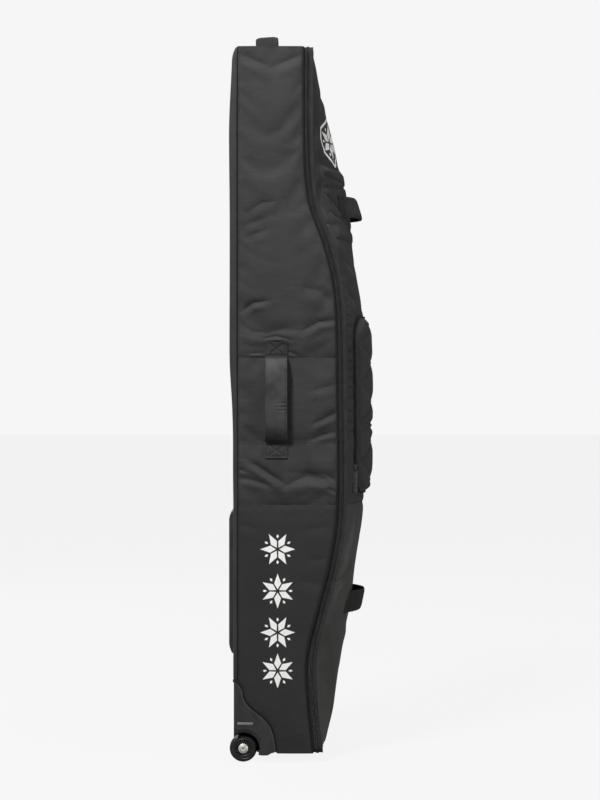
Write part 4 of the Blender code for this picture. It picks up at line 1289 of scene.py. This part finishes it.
def make_top_handle():
    middle_x = (TOP_HANDLE_LOW.x + TOP_HANDLE_HIGH.x) / 2
    half = (TOP_HANDLE_HIGH.x - TOP_HANDLE_LOW.x) / 2
    rise = TOP_HANDLE_HIGH.z - TOP_Z - 0.0090
    places = between(TOP_HANDLE_LOW.y, TOP_HANDLE_HIGH.y, 81)

    def height(x, y):
        lift = rise * (1 - min(abs(y) / TOP_HANDLE_FREE, 1.0) ** 4)
        across = (x - middle_x) / half
        bent = 0.07 * (x - middle_x) - 0.0040 * min(abs(across), 1.0) ** 6
        return TOP_Z + 0.0022 + lift + bent * (lift / rise)

    def point(u, v):
        x, y = middle_x + (2 * v - 1) * half, places[round(u * 80)]
        return Vector((x, y, height(x, y)))

    strap("top_handle_strap", 80, 10, point, 0.0030, "bag", ["top_grab_handle"], DARK_STRAP)
    rings = []
    for y in between(-TOP_SLEEVE_HALF, TOP_SLEEVE_HALF, 61):
        end = 1 - ease(TOP_SLEEVE_HALF - abs(y), 0, 0.004)
        ring = []
        for k in range(56):
            a = 2 * math.pi * k / 56
            c, s = math.cos(a), math.sin(a)
            x = middle_x + (half + 0.0006) * math.copysign(abs(c) ** 0.35, c)
            out = 0.0040 * math.copysign(abs(s) ** 0.55, s) * (1 - 0.3 * end)
            ring.append(Vector((x, y, height(x, y) - 0.0017 + out)))
        rings.append(ring)
    sleeve = piece("top_handle_sleeve", loft(rings), DARK_STRAP)
    settle(sleeve, "bag")
    runs = []
    for side in (LEFT, RIGHT):
        ends = sorted((side * 0.092, side * 0.1145))
        for run in box_stitch((TOP_HANDLE_LOW.x, ends[0]), (TOP_HANDLE_HIGH.x, ends[1]), 0.004):
            runs.append([Vector((x, y, height(x, y) + 0.0003)) for x, y in run])
    piece("top_handle_stitching", stitches(runs), THREAD, "bag")


LOOP_HALF = 0.090
LOOP_FREE = 0.068
LOOP_WIDTH = 0.052
LOOP_RISE = 0.0262
LOOP_SEWN = (0.070, 0.089)
# Creases of the patch: height, slope away from the middle and depth
PATCH_CREASES = (
    (1.3780, 0.10, 0.0030), (1.3600, -0.10, 0.0026), (1.3050, 0.55, 0.0024), (1.2800, 0.30, 0.0018),
)


def make_loop(name, node, z0, base, skew, lean, bow):
    """A webbing loop across the lid, sewn a little askew. Gives the runs of its sewing."""

    def loop(u, v):
        y = (2 * u - 1) * LOOP_HALF
        part = 1 - min(abs(y) / LOOP_FREE, 1.0) ** bow
        z = z0 + (v - 0.5) * LOOP_WIDTH + skew * y
        flat = lid_x(y, z0) * 0.4 + lid_x(y, z) * 0.6
        rounded = 0.0030 * abs(2 * v - 1) ** 6 * part
        return Vector((flat + base + LOOP_RISE * part + lean * (v - 0.5) * part - rounded, y, z))

    strap(f"{name}_loop_strap", 90, 20, loop, STRAP_THICK, "lid", [node])
    runs = []
    for side in (LEFT, RIGHT):
        ends = sorted(side * y for y in LOOP_SEWN)
        low, high = (ends[0], z0 - LOOP_WIDTH / 2), (ends[1], z0 + LOOP_WIDTH / 2)
        for run in box_stitch(low, high, STITCH_INSET):
            runs.append([Vector((lid_x(y, z) + base + 0.0004, y, z + skew * y)) for y, z in run])
    return runs


def make_loops():
    """Sewn patch of the upper loop and the two webbing loops on the lid."""
    middle = (PATCH_LOW.z + PATCH_HIGH.z) / 2
    tall = PATCH_HIGH.z - PATCH_LOW.z

    def patch(u, v):
        y = (2 * u - 1) * PATCH_HALF
        z = PATCH_LOW.z + v * tall
        rim = min(PATCH_HALF - abs(y), z - PATCH_LOW.z, PATCH_HIGH.z - z)
        puff = 0.0036 * ease(z, middle, PATCH_HIGH.z - 0.006) * ease(rim, -0.001, 0.010)
        rolls = 0.0
        for height, slope, deep in PATCH_CREASES:
            rolls += deep * math.exp(-(((z - height - slope * (abs(y) - 0.08)) / 0.004) ** 2))
        inner = ease(rim, 0.002, 0.012)
        return on_lid(y, z, 0.0016 + puff - rolls * inner + 0.0014 * inner)

    skin = piece("upper_loop_patch_skin", grid(100, 110, patch), WEAVE)
    thicken(skin, 0.0018, edge=0.0009)
    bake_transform(skin)
    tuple(HINGE_START)
    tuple(HINGE_END)
    finish_piece(["upper_loop_patch"])
    inset = 0.004
    across = PATCH_HALF - inset
    base, top = PATCH_LOW.z + inset, PATCH_HIGH.z - inset
    corners = [(-across, base), (PATCH_SEWN_END, base), (PATCH_SEWN_END, top), (-across, top)]
    runs = []
    for a, b in zip(corners, corners[1:] + corners[:1]):
        line = zip(between(a[0], b[0], 60), between(a[1], b[1], 60))
        runs.append([on_lid(y, z, 0.0022) for y, z in line])
    for name, node, base, shift, skew, lean, bow in (
        ("upper", "upper_front_loop", 0.0052, 0.0, 0.0, -0.011, 3.0),
        ("lower", "lower_front_loop", 0.0032, -0.014, 0.04, 0.006, 2.2),
    ):
        low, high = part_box(node)
        z0 = (low.z + high.z) / 2 + shift
        runs += make_loop(name, node, z0, base, skew, lean, bow)
    piece("loop_stitching", stitches(runs), THREAD, "lid")


# Pocket

POCKET_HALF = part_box("pocket_gusset")[1].y
POCKET_CORNER = 0.055
POCKET_MIDDLE = (POCKET_LOW.z + POCKET_HIGH.z) / 2
POCKET_TALL = (POCKET_HIGH.z - POCKET_LOW.z) / 2
DIAMOND_TALL = 0.094
DIAMOND_WIDE = 0.236
DIAMOND_Z = 0.848
FOLD_Z = 0.791
FOLD_GAP = 0.006
POCKET_RAISED = 0.0095
POCKET_BULGE = 0.0053
POCKET_PUFF = 0.0080
POCKET_CLOTH = 0.0018
POCKET_PIPING, POCKET_FOOT_CORD = 0.0016, 0.0013
POCKET_TAPE_OUT, POCKET_TAPE_WIDE, POCKET_TAPE_THICK = 0.0046, 0.0060, 0.0008


def pocket_rim(y, z):
    """Distance inwards from the pocket's rounded outline."""
    flat_y, flat_z = POCKET_HALF - POCKET_CORNER, POCKET_TALL - POCKET_CORNER
    over_y, over_z = abs(y) - flat_y, abs(z - POCKET_MIDDLE) - flat_z
    if over_y > 0 and over_z > 0:
        return POCKET_CORNER - math.hypot(over_y, over_z)
    return POCKET_CORNER - max(over_y, over_z)


def quilting(y, z):
    """0 on the sewn diamond lines and the fold, up to 1 at the middle of a diamond."""
    a = (z - DIAMOND_Z) / DIAMOND_TALL
    b = y / DIAMOND_WIDE
    lines = min(abs(math.sin(math.pi * (a + b))), abs(math.sin(math.pi * (a - b))))
    fold = min(abs(z - FOLD_Z - FOLD_GAP), abs(z - FOLD_Z + FOLD_GAP)) / 0.012
    return min(lines * 1.4, 1.0) ** 0.5 * min(fold, 1.0) ** 0.5


def pocket_face(y, z):
    rim = pocket_rim(y, z)
    across = 1 - (y / POCKET_HALF) ** 2
    along = 1 - ((z - POCKET_MIDDLE) / POCKET_TALL) ** 12
    base = lid_x(y, z) + POCKET_RAISED + POCKET_BULGE * max(across * along, 0)
    roll = -0.0035 * (1 - ease(rim, 0, 0.010))
    puff = POCKET_PUFF * quilting(y, z) * ease(rim, 0.001, 0.016)
    crumple = noise.noise(Vector((2.1, y * 26, z * 22))) * 0.0012 * ease(rim, 0.004, 0.02)
    return base - POCKET_CLOTH + roll + puff + crumple


def pocket_outline(inset=0.0, count=9):
    half, radius = POCKET_HALF - inset, POCKET_CORNER - inset
    low, high = POCKET_LOW.z + inset, POCKET_HIGH.z - inset
    cy = half - radius
    path = arc((cy, low + radius), radius, -90, 0, count)
    path += [(half, z) for z in between(low + radius, high - radius, 60)[1:-1]]
    path += arc((cy, high - radius), radius, 0, 90, count)
    path += [(y, high) for y in between(cy, -cy, 28)[1:-1]]
    path += arc((-cy, high - radius), radius, 90, 180, count)
    path += [(-half, z) for z in between(high - radius, low + radius, 60)[1:-1]]
    path += arc((-cy, low + radius), radius, 180, 270, count)
    return path + [(y, low) for y in between(-cy, cy, 28)[1:-1]]


def pocket_point(u, v):
    """Maps the unit square to the rounded outline, without squeezing its middle."""
    z = POCKET_LOW.z + v * 2 * POCKET_TALL
    over = abs(z - POCKET_MIDDLE) - (POCKET_TALL - POCKET_CORNER)
    half = POCKET_HALF - 0.0006
    if over > 0:
        half -= POCKET_CORNER - math.sqrt(max(POCKET_CORNER**2 - over**2, 0.0))
    y = (2 * u - 1) * half
    return Vector((pocket_face(y, z), y, z))


def make_pocket():
    columns = 110
    panel = piece("pocket_quilt", grid(columns, columns * 3 // 2, pocket_point), QUILT)
    thicken(panel, 0.0025)
    settle(panel, "lid", ["pocket_panel"])
    ring = pocket_outline()
    last = len(ring)

    def side_wall(u, v):
        y, z = ring[round(u * last) % last]
        low, high = lid_x(y, z) + 0.0006, pocket_face(y, z) - 0.0010
        fold = 0.0012 * math.sin(math.pi * v) + 0.0008 * noise.noise(Vector((5.5, y * 30, z * 30)))
        flat = Vector((0, y, z)) - Vector((0, y * 0.6, POCKET_MIDDLE + (z - POCKET_MIDDLE) * 0.8))
        return Vector((low + (high - low) * v, y, z)) + flat.normalized() * fold

    wall = grid(last, 6, side_wall)
    bmesh.ops.remove_doubles(wall, verts=wall.verts, dist=1e-6)
    gusset = piece("pocket_side", wall, QUILT)
    thicken(gusset, POCKET_CLOTH, 0.0)
    settle(gusset, "lid", ["pocket_gusset"])
    piping = [(pocket_face(y, z) + 0.0006, y, z) for y, z in pocket_outline(-0.0004)]
    edge = sweep(piping, POCKET_PIPING, 8, closed=True)
    foot = [(lid_x(y, z) + 0.0016, y, z) for y, z in pocket_outline(-0.0008)]
    merge(edge, sweep(foot, POCKET_FOOT_CORD, 8, closed=True))
    piece("pocket_cords", edge, CORD_AND_GAP_SHADE, "lid")
    sewn = []
    for number in range(-4, 5):
        for lean in (-1, 1):
            line = [(y, DIAMOND_Z + DIAMOND_TALL * (number + lean * y / DIAMOND_WIDE))
                    for y in between(-POCKET_HALF, POCKET_HALF, 200)]
            sewn.append([(y, z) for y, z in line if pocket_rim(y, z) > 0.010])
    for z in (FOLD_Z - FOLD_GAP, FOLD_Z + FOLD_GAP):
        sewn.append([(y, z) for y in between(-POCKET_HALF, POCKET_HALF, 200) if pocket_rim(y, z) > 0.010])
    runs = [[Vector((pocket_face(y, z) + 0.0003, y, z)) for y, z in run] for run in sewn if len(run) > 2]
    # Thick dark stitches along the quilt lines: real stitching, and also painted shade of the sewn valleys.
    piece("pocket_quilt_stitching_and_shade", stitches(runs, 0.0040, 0.0010, 0.0008), THREAD, "lid")
    make_pocket_zip()


def make_pocket_zip():
    low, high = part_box("pocket_zipper_coil")
    x, y = (low.x + high.x) / 2, -POCKET_HALF - 0.0016
    heights = between(low.z, high.z, 60)
    tapes = bmesh.new()
    for step in (-POCKET_TAPE_OUT, POCKET_TAPE_OUT):

        def tape_point(u, v, step=step):
            crown = 0.0004 if abs(v - 0.5) < 0.2 else 0.0
            return Vector((x + step + (v - 0.5) * POCKET_TAPE_WIDE, y - crown, heights[round(u * 59)]))

        merge(tapes, grid(59, 2, tape_point))
    tape = piece("pocket_zip_tape", tapes, TAPE)
    thicken(tape, POCKET_TAPE_THICK, 0.0)
    settle(tape, "lid")
    bm = bmesh.new()
    for k, z in enumerate(between(low.z, high.z, 150)):
        lean = 0.0007 if k % 2 else -0.0007
        start = (x - 0.0013 + lean, y - 0.0011, z - 0.0007)
        end = (x + 0.0013 + lean, y - 0.0001, z + 0.0007)
        merge(bm, box_bm(start, end))
    piece("pocket_zip_teeth", bm, COIL, "lid", ["pocket_zipper_coil"])


# Skid plate

RUNNERS = 5
# Distance from the plate's end, and the share of its full height there
SKID_ENDS = ((0.0, 0.0), (0.002, 0.45), (0.012, 0.85), (0.020, 1.0))


def make_skid_plate():
    low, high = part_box("skid_plate")
    root = BACK_X + 0.0080
    base = high.x - 0.0025
    half, pitch = high.y, 2 * high.y / RUNNERS
    runner = [(base, 0.0095), (base - 0.0007, 0.0083), (low.x + 0.0006, 0.0066), (low.x, 0.0052)]
    section = [(root, -half), (base + 0.0012, -half), (base, -half + 0.0015)]
    for i in range(RUNNERS):
        middle = -half + pitch * (i + 0.5)
        section += [(x, middle - y) for x, y in runner]
        section += [(x, middle + y) for x, y in reversed(runner)]
    section += [(base, half - 0.0015), (base + 0.0012, half), (root, half)]
    levels = [(low.z + into, depth) for into, depth in SKID_ENDS]
    levels += [(high.z - into, depth) for into, depth in reversed(SKID_ENDS)]
    rings = []
    for z, depth in levels:
        rings.append([Vector((root + (x - root) * (0.35 + 0.65 * depth), y, z)) for x, y in section])
    piece("skid_runners", loft(rings), PLASTIC, "bag", ["skid_plate"])


# Wheel end

HOUSING_FOOT = (
    (-0.0725, 0.0215), (-0.0745, 0.0178), (-0.079, 0.0165), (-0.095, 0.0165), (-0.103, 0.019),
    (-0.136, 0.032), (-0.150, 0.062), (-0.1535, 0.069),
)
ARCH_RADIUS = 0.0385
HOUSING_INNER_Y, FACE_Y = 0.098, 0.170
HOUSING_CORD = 0.0026
TYRE_INNER_Y, TYRE_OUTER_Y = 0.1375, 0.1615
TREAD_ROUND = 0.0065
HUB_BORE = 0.0113


def resample(path, count):
    """Evenly spaced points along a closed path."""
    closed = path + path[:1]
    lengths = [0.0]
    for a, b in zip(closed, closed[1:]):
        lengths.append(lengths[-1] + math.dist(a, b))
    spaced, i = [], 0
    for k in range(count):
        place = lengths[-1] * k / count
        while lengths[i + 1] < place:
            i += 1
        t = (place - lengths[i]) / (lengths[i + 1] - lengths[i])
        spaced.append(tuple(p + (q - p) * t for p, q in zip(closed[i], closed[i + 1])))
    return spaced


def softened(path, rounds):
    """The closed path with its corners rounded off."""
    for _ in range(rounds):
        path = [tuple((a + 2 * b + c) / 4 for a, b, c in zip(path[i - 1], p, path[(i + 1) % len(path)]))
                for i, p in enumerate(path)]
    return path


def drawn_in(path, inset):
    """The closed path moved inwards, for one that runs clockwise."""
    moved = []
    for i, (x, z) in enumerate(path):
        (xa, za), (xb, zb) = path[i - 1], path[(i + 1) % len(path)]
        length = math.hypot(xb - xa, zb - za)
        moved.append((x + (zb - za) / length * inset, z - (xb - xa) / length * inset))
    return moved


def housing_outline():
    """Housing seen from the side, in x and z, clockwise."""
    heights = between(HOUSING_CONTOUR[0][1], HOUSING_CONTOUR[-1][1], 70)
    contour = [(smooth(HOUSING_EDGE, z), z) for z in heights]
    back = [(foot_line(z) + 0.0004, z) for z in between(0.070, 0.189, 12)]
    return softened(resample(back + contour + list(HOUSING_FOOT), 220), 5)


def rounded_slab(path, side, y_low, y_high, radius, steps=5):
    """Prism over a closed path, with its outer edge rounded."""
    levels = [(y_low, 0.0)]
    for k in range(steps + 1):
        a = math.pi / 2 * k / steps
        levels.append((y_high - radius + radius * math.sin(a), radius * (1 - math.cos(a))))
    return loft([[Vector((x, side * y, z)) for x, z in drawn_in(path, inset)] for y, inset in levels])


def even_normals(item):
    """Keeps flat faces flat beside rounded edges."""
    item.modifiers.new("normals", "WEIGHTED_NORMAL").keep_sharp = True
    apply_modifiers(item)


def make_housing(side):
    name = side_name(side)
    block = rounded_slab(housing_outline(), side, HOUSING_INNER_Y, FACE_Y, 0.0026)
    shell = piece(f"{name}_housing_shell", block, PLASTIC)
    cut = [(0.0, 0.1355), (0.0365, 0.1355), (ARCH_RADIUS, 0.1370), (ARCH_RADIUS, FACE_Y - 0.0030),
           (ARCH_RADIUS + 0.0008, FACE_Y - 0.0012), (ARCH_RADIUS + 0.0028, FACE_Y + 0.0005),
           (ARCH_RADIUS + 0.0040, FACE_Y + 0.004), (0.0, FACE_Y + 0.004)]
    boolean(shell, piece(f"{name}_arch", lathe(cut, side, 72), PLASTIC), "DIFFERENCE")
    even_normals(shell)
    settle(shell, "bag", [f"{name}_wheel_housing"])
    make_housing_trim(side, name)


def make_housing_trim(side, name):
    """Raised face plate with its curved ridge, the grey bar with its painted highlight, and a dark cord
    round the contour as painted shade of the gap there.
    """
    outer = [(smooth(HOUSING_EDGE, z) - 0.0150, z) for z in between(0.170, 0.120, 14)]
    down = [(-0.108, 0.100), (-0.100, 0.094), (-0.0955, 0.086), (-0.094, 0.076), (-0.0935, 0.058)]
    back = [(-0.0975, 0.0505), (-0.101, 0.060), (-0.108, 0.070), (-0.120, 0.0765), (-0.134, 0.0785),
            (-0.150, 0.0760), (-0.157, 0.080)]
    plate = outer + down + back + [(-0.1575, 0.120), (-0.1575, 0.165)]
    plate = softened(resample(plate, 160), 6)
    slab = rounded_slab(plate, side, FACE_Y - 0.002, FACE_Y + 0.0012, 0.0010)
    raised = piece(f"{name}_face_plate", slab, PLASTIC)
    even_normals(raised)
    settle(raised, "bag")
    # Raised bar, coloured light grey as a painted highlight.
    bar = box_bm((-0.150, FACE_Y + 0.0002, 0.0885), (-0.1125, FACE_Y + 0.0022, 0.0950), 0.0012, 3)
    bmesh.ops.transform(bar, matrix=Matrix.Scale(side, 4, (0, 1, 0)), verts=bar.verts)
    bmesh.ops.recalc_face_normals(bar, faces=bar.faces)
    piece(f"{name}_painted_highlight_bar", bar, BAR_PAINTED_HIGHLIGHT, "bag")
    # Near-black cord in the recess round the housing: painted shade of the gap between housing and cloth.
    heights = between(HOUSING_CONTOUR[0][1] - 0.001, HOUSING_CONTOUR[-1][1], 60)
    line = [(smooth(HOUSING_EDGE, z) + 0.0012, side * (HALF - 0.0022), z) for z in heights]
    piece(f"{name}_housing_gap_shade_cord", sweep(line, HOUSING_CORD, 8), CORD_AND_GAP_SHADE, "bag")


def make_wheel(side):
    name = side_name(side)
    body = f"{name}_wheel"
    outer, inner = TYRE_OUTER_Y, TYRE_INNER_Y
    middle = WHEEL_RADIUS - TREAD_ROUND
    face = [(0.0195, outer - 0.0012), (0.0203, outer - 0.0002), (0.0225, outer), (0.0232, outer - 0.0006),
            (0.0240, outer - 0.0006), (0.0247, outer)]
    tread = [(middle + TREAD_ROUND * math.sin(a), outer - TREAD_ROUND + TREAD_ROUND * math.cos(a))
             for a in between(0.1, math.pi / 2, 8)]
    back = [(middle + TREAD_ROUND * math.cos(a), inner + TREAD_ROUND - TREAD_ROUND * math.sin(a))
            for a in between(0, math.pi / 2, 8)]
    tyre = face + tread + back + [(0.0195, inner)]
    piece(f"{name}_tyre_tread", lathe(tyre, side, 96), TYRE, body, [f"{name}_tyre"])
    hub = [(HUB_BORE, outer - 0.0060), (0.0120, outer - 0.0045), (0.0150, outer - 0.0040),
           (0.0160, outer - 0.0015), (0.0175, outer - 0.0004), (0.0188, outer - 0.0004),
           (0.0192, outer - 0.0014), (0.0192, inner + 0.0012), (0.0182, inner), (HUB_BORE, inner)]
    piece(f"{name}_hub_core", lathe(hub, side, 72), DARK_PLASTIC, body, [f"{name}_wheel_hub"])
    cap = [(0.0, outer + 0.0010), (0.0034, outer + 0.0010), (0.0036, outer + 0.0042),
           (0.0046, outer + 0.0045), (0.0066, outer + 0.0042), (0.0076, outer + 0.0030),
           (0.0080, outer + 0.0022), (0.0102, outer + 0.0021), (0.0112, outer + 0.0014),
           (HUB_BORE, outer + 0.0003), (0.0036, outer + 0.0003), (0.0036, inner - 0.0048),
           (0.0, inner - 0.0048)]
    bolt = piece(f"{name}_axle_cap", lathe(cap, side, 64), STEEL)
    settle(bolt, "bag", [f"{name}_axle_bolt"])


# Prints

PRINT_LIFT = 0.0003
INK_THICK = 0.0002
SIDE_PRINT_X, SIDE_PRINT_SIZE = -0.055, 0.041
SIDE_PRINT_HEIGHTS = (0.5015, 0.4035, 0.3060, 0.2160)
LID_PRINT_Y, LID_PRINT_Z, LID_PRINT_SIZE = 0.078, 1.468, 0.046
HEXAGON_OUTER, HEXAGON_INNER = 0.060, 0.0525


def flake(centre, size, turn=0.0):
    """A plain six-armed snow crystal made of kites and small rhombs, as outlines in two dimensions."""
    shapes = []
    kite = ((0.10, 0.0), (0.42, 0.20), (1.0, 0.0), (0.42, -0.20))
    rhomb = ((0.62, 0.0), (0.74, 0.075), (0.86, 0.0), (0.74, -0.075))
    for arm in range(6):
        for outline, extra in ((kite, 0.0), (rhomb, 30.0)):
            a = math.radians(60 * arm + turn + extra)
            shapes.append([
                (centre[0] + size * (p * math.cos(a) - q * math.sin(a)),
                 centre[1] + size * (p * math.sin(a) + q * math.cos(a))) for p, q in outline
            ])
    return shapes


def print_on(name, shapes, lay, body, detail=10):
    """Four-cornered shapes laid on a surface as thin ink."""
    bm = bmesh.new()
    for a, b, c, d in shapes:
        def point(u, v, a=a, b=b, c=c, d=d):
            return [(a[i] * (1 - u) + b[i] * u) * (1 - v) + (d[i] * (1 - u) + c[i] * u) * v for i in (0, 1)]

        merge(bm, grid(detail, detail, lambda u, v: lay(*point(u, v))))
    ink = piece(name, bm, INK)
    thicken(ink, INK_THICK, 0.0)
    settle(ink, body)


def hexagon(centre, outer, inner):
    shapes = []
    for k in range(6):
        a, b = math.radians(60 * k + 30), math.radians(60 * k + 90)
        shapes.append([(centre[0] + r * math.cos(t), centre[1] + r * math.sin(t))
                       for r, t in ((inner, a), (outer, a), (outer, b), (inner, b))])
    return shapes


def make_prints():
    for side in (LEFT, RIGHT):
        shapes = []
        for number, z in enumerate(SIDE_PRINT_HEIGHTS):
            shapes += flake((SIDE_PRINT_X, z), SIDE_PRINT_SIZE, 30 * (number % 2))

        def lay(x, z, side=side):
            return on_side(side, x, z, PRINT_LIFT)

        print_on(f"{side_name(side)}_side_print", shapes, lay, "bag")
    shapes = []
    for side in (LEFT, RIGHT):
        middle = (side * LID_PRINT_Y, LID_PRINT_Z)
        shapes += hexagon(middle, HEXAGON_OUTER, HEXAGON_INNER) + flake(middle, LID_PRINT_SIZE, 30)
    print_on("lid_print", shapes, lambda y, z: on_lid(y, z, PRINT_LIFT), "lid")


# Studio

BACKDROP = 0.922
FLOOR_SHOWN = BACKDROP - 0.040
FLOOR_HALF = 40
KEY_POWER = 360
TOP_POWER = 34
FILL_POWER = 88
BACK_POWER = 90
WORLD_LIGHT = 0.17
FLOOR_LIGHT = 0.17
BAG_MIDDLE = (0, 0, 0.9)
CAMERA_PLACE = (-0.0024, -4.475, 0.852)
CAMERA_LENS = 82.5
# Place, target, size and power of each light
LIGHTS = {
    "key": ((-1.8, -2.9, 4.7), BAG_MIDDLE, (0.9, 0.9), KEY_POWER),
    "top": ((0.3, -0.6, 4.2), BAG_MIDDLE, (1.5, 1.5), TOP_POWER),
    "back": ((-2.2, 3.4, 2.6), BAG_MIDDLE, (2.0, 2.0), BACK_POWER),
    "fill": ((3.5, -1.6, 0.2), (0, 0, 0.5), (1.2, 1.5), FILL_POWER),
}


def pale_to_camera(tree, socket, light, shown):
    """Drives a strength that lights the object less than it shows to the camera."""
    seen = tree.nodes.new("ShaderNodeLightPath").outputs["Is Camera Ray"]
    spread = tree.nodes.new("ShaderNodeMapRange")
    spread.inputs["To Min"].default_value = light
    spread.inputs["To Max"].default_value = shown
    tree.links.new(seen, spread.inputs["Value"])
    tree.links.new(spread.outputs[0], socket)


def make_floor():
    mesh = bpy.data.meshes.new("floor")
    bm = bmesh.new()
    bmesh.ops.create_grid(bm, x_segments=1, y_segments=1, size=FLOOR_HALF)
    bm.to_mesh(mesh)
    bm.free()
    item = bpy.data.objects.new("floor", mesh)
    bpy.context.scene.collection.objects.link(item)
    look = bpy.data.materials.new("pale_floor")
    look.use_nodes = True
    shader = look.node_tree.nodes["Principled BSDF"]
    shader.inputs["Base Color"].default_value = (0.03, 0.03, 0.03, 1)
    shader.inputs["Roughness"].default_value = 1.0
    shader.inputs["Specular IOR Level"].default_value = 0.0
    shader.inputs["Emission Color"].default_value = (1, 1, 1, 1)
    pale_to_camera(look.node_tree, shader.inputs["Emission Strength"], FLOOR_LIGHT, FLOOR_SHOWN)
    mesh.materials.append(look)


def area_light(name, place, target, size, power):
    data = bpy.data.lights.new(name, "AREA")
    data.shape = "RECTANGLE"
    data.size, data.size_y = size
    data.energy = power
    item = bpy.data.objects.new(name, data)
    item.location = place
    item.rotation_euler = (Vector(target) - Vector(place)).to_track_quat("-Z", "Y").to_euler()
    bpy.context.scene.collection.objects.link(item)


def make_studio():
    """Soft light from above on the left, a weak fill, and a backdrop paler than the light it gives."""
    scene = bpy.context.scene
    scene.view_settings.view_transform = "Standard"
    world = bpy.data.worlds.new("studio")
    world.use_nodes = True
    background = world.node_tree.nodes["Background"]
    background.inputs["Color"].default_value = (1, 1, 1, 1)
    pale_to_camera(world.node_tree, background.inputs["Strength"], WORLD_LIGHT, BACKDROP)
    scene.world = world
    for name, setting in LIGHTS.items():
        area_light(name, *setting)
    camera = bpy.data.cameras.new("camera")
    camera.lens = CAMERA_LENS
    camera.clip_end = 100
    item = bpy.data.objects.new("camera", camera)
    item.location = CAMERA_PLACE
    item.rotation_euler = (math.pi / 2, 0, 0)
    scene.collection.objects.link(item)
    scene.camera = item


def finish_nodes():
    """Materials for the CAD pieces that show as they are."""
    looks = {
        "slider": SLIDER, "steel": STEEL, "plastic": PLASTIC, "tyre": TYRE, "webbing": STRAP,
        "grip": GRIP, "coated": COATED, "woven": WEAVE, "quilted": QUILT, "coil": COIL, "tape": TAPE,
        "lining": LINING, "board": BOARD,
    }
    slots = {row["node"]: row["material_slot"] for row in frame["record"]["subparts"]}
    for name, item in frame["nodes"].items():
        item.data.materials.clear()
        item.data.materials.append(looks[slots[name]])


finish_nodes()
make_studio()
make_floor()
for each in (LEFT, RIGHT):
    make_side(each)
    make_side_handle(each)
    make_housing(each)
    make_well_liner(each)
    make_wheel(each)
make_back()
make_top_end()
make_inside()
make_lid()
make_zipper()
make_loops()
make_pocket()
make_top_handle()
make_skid_plate()
make_prints()
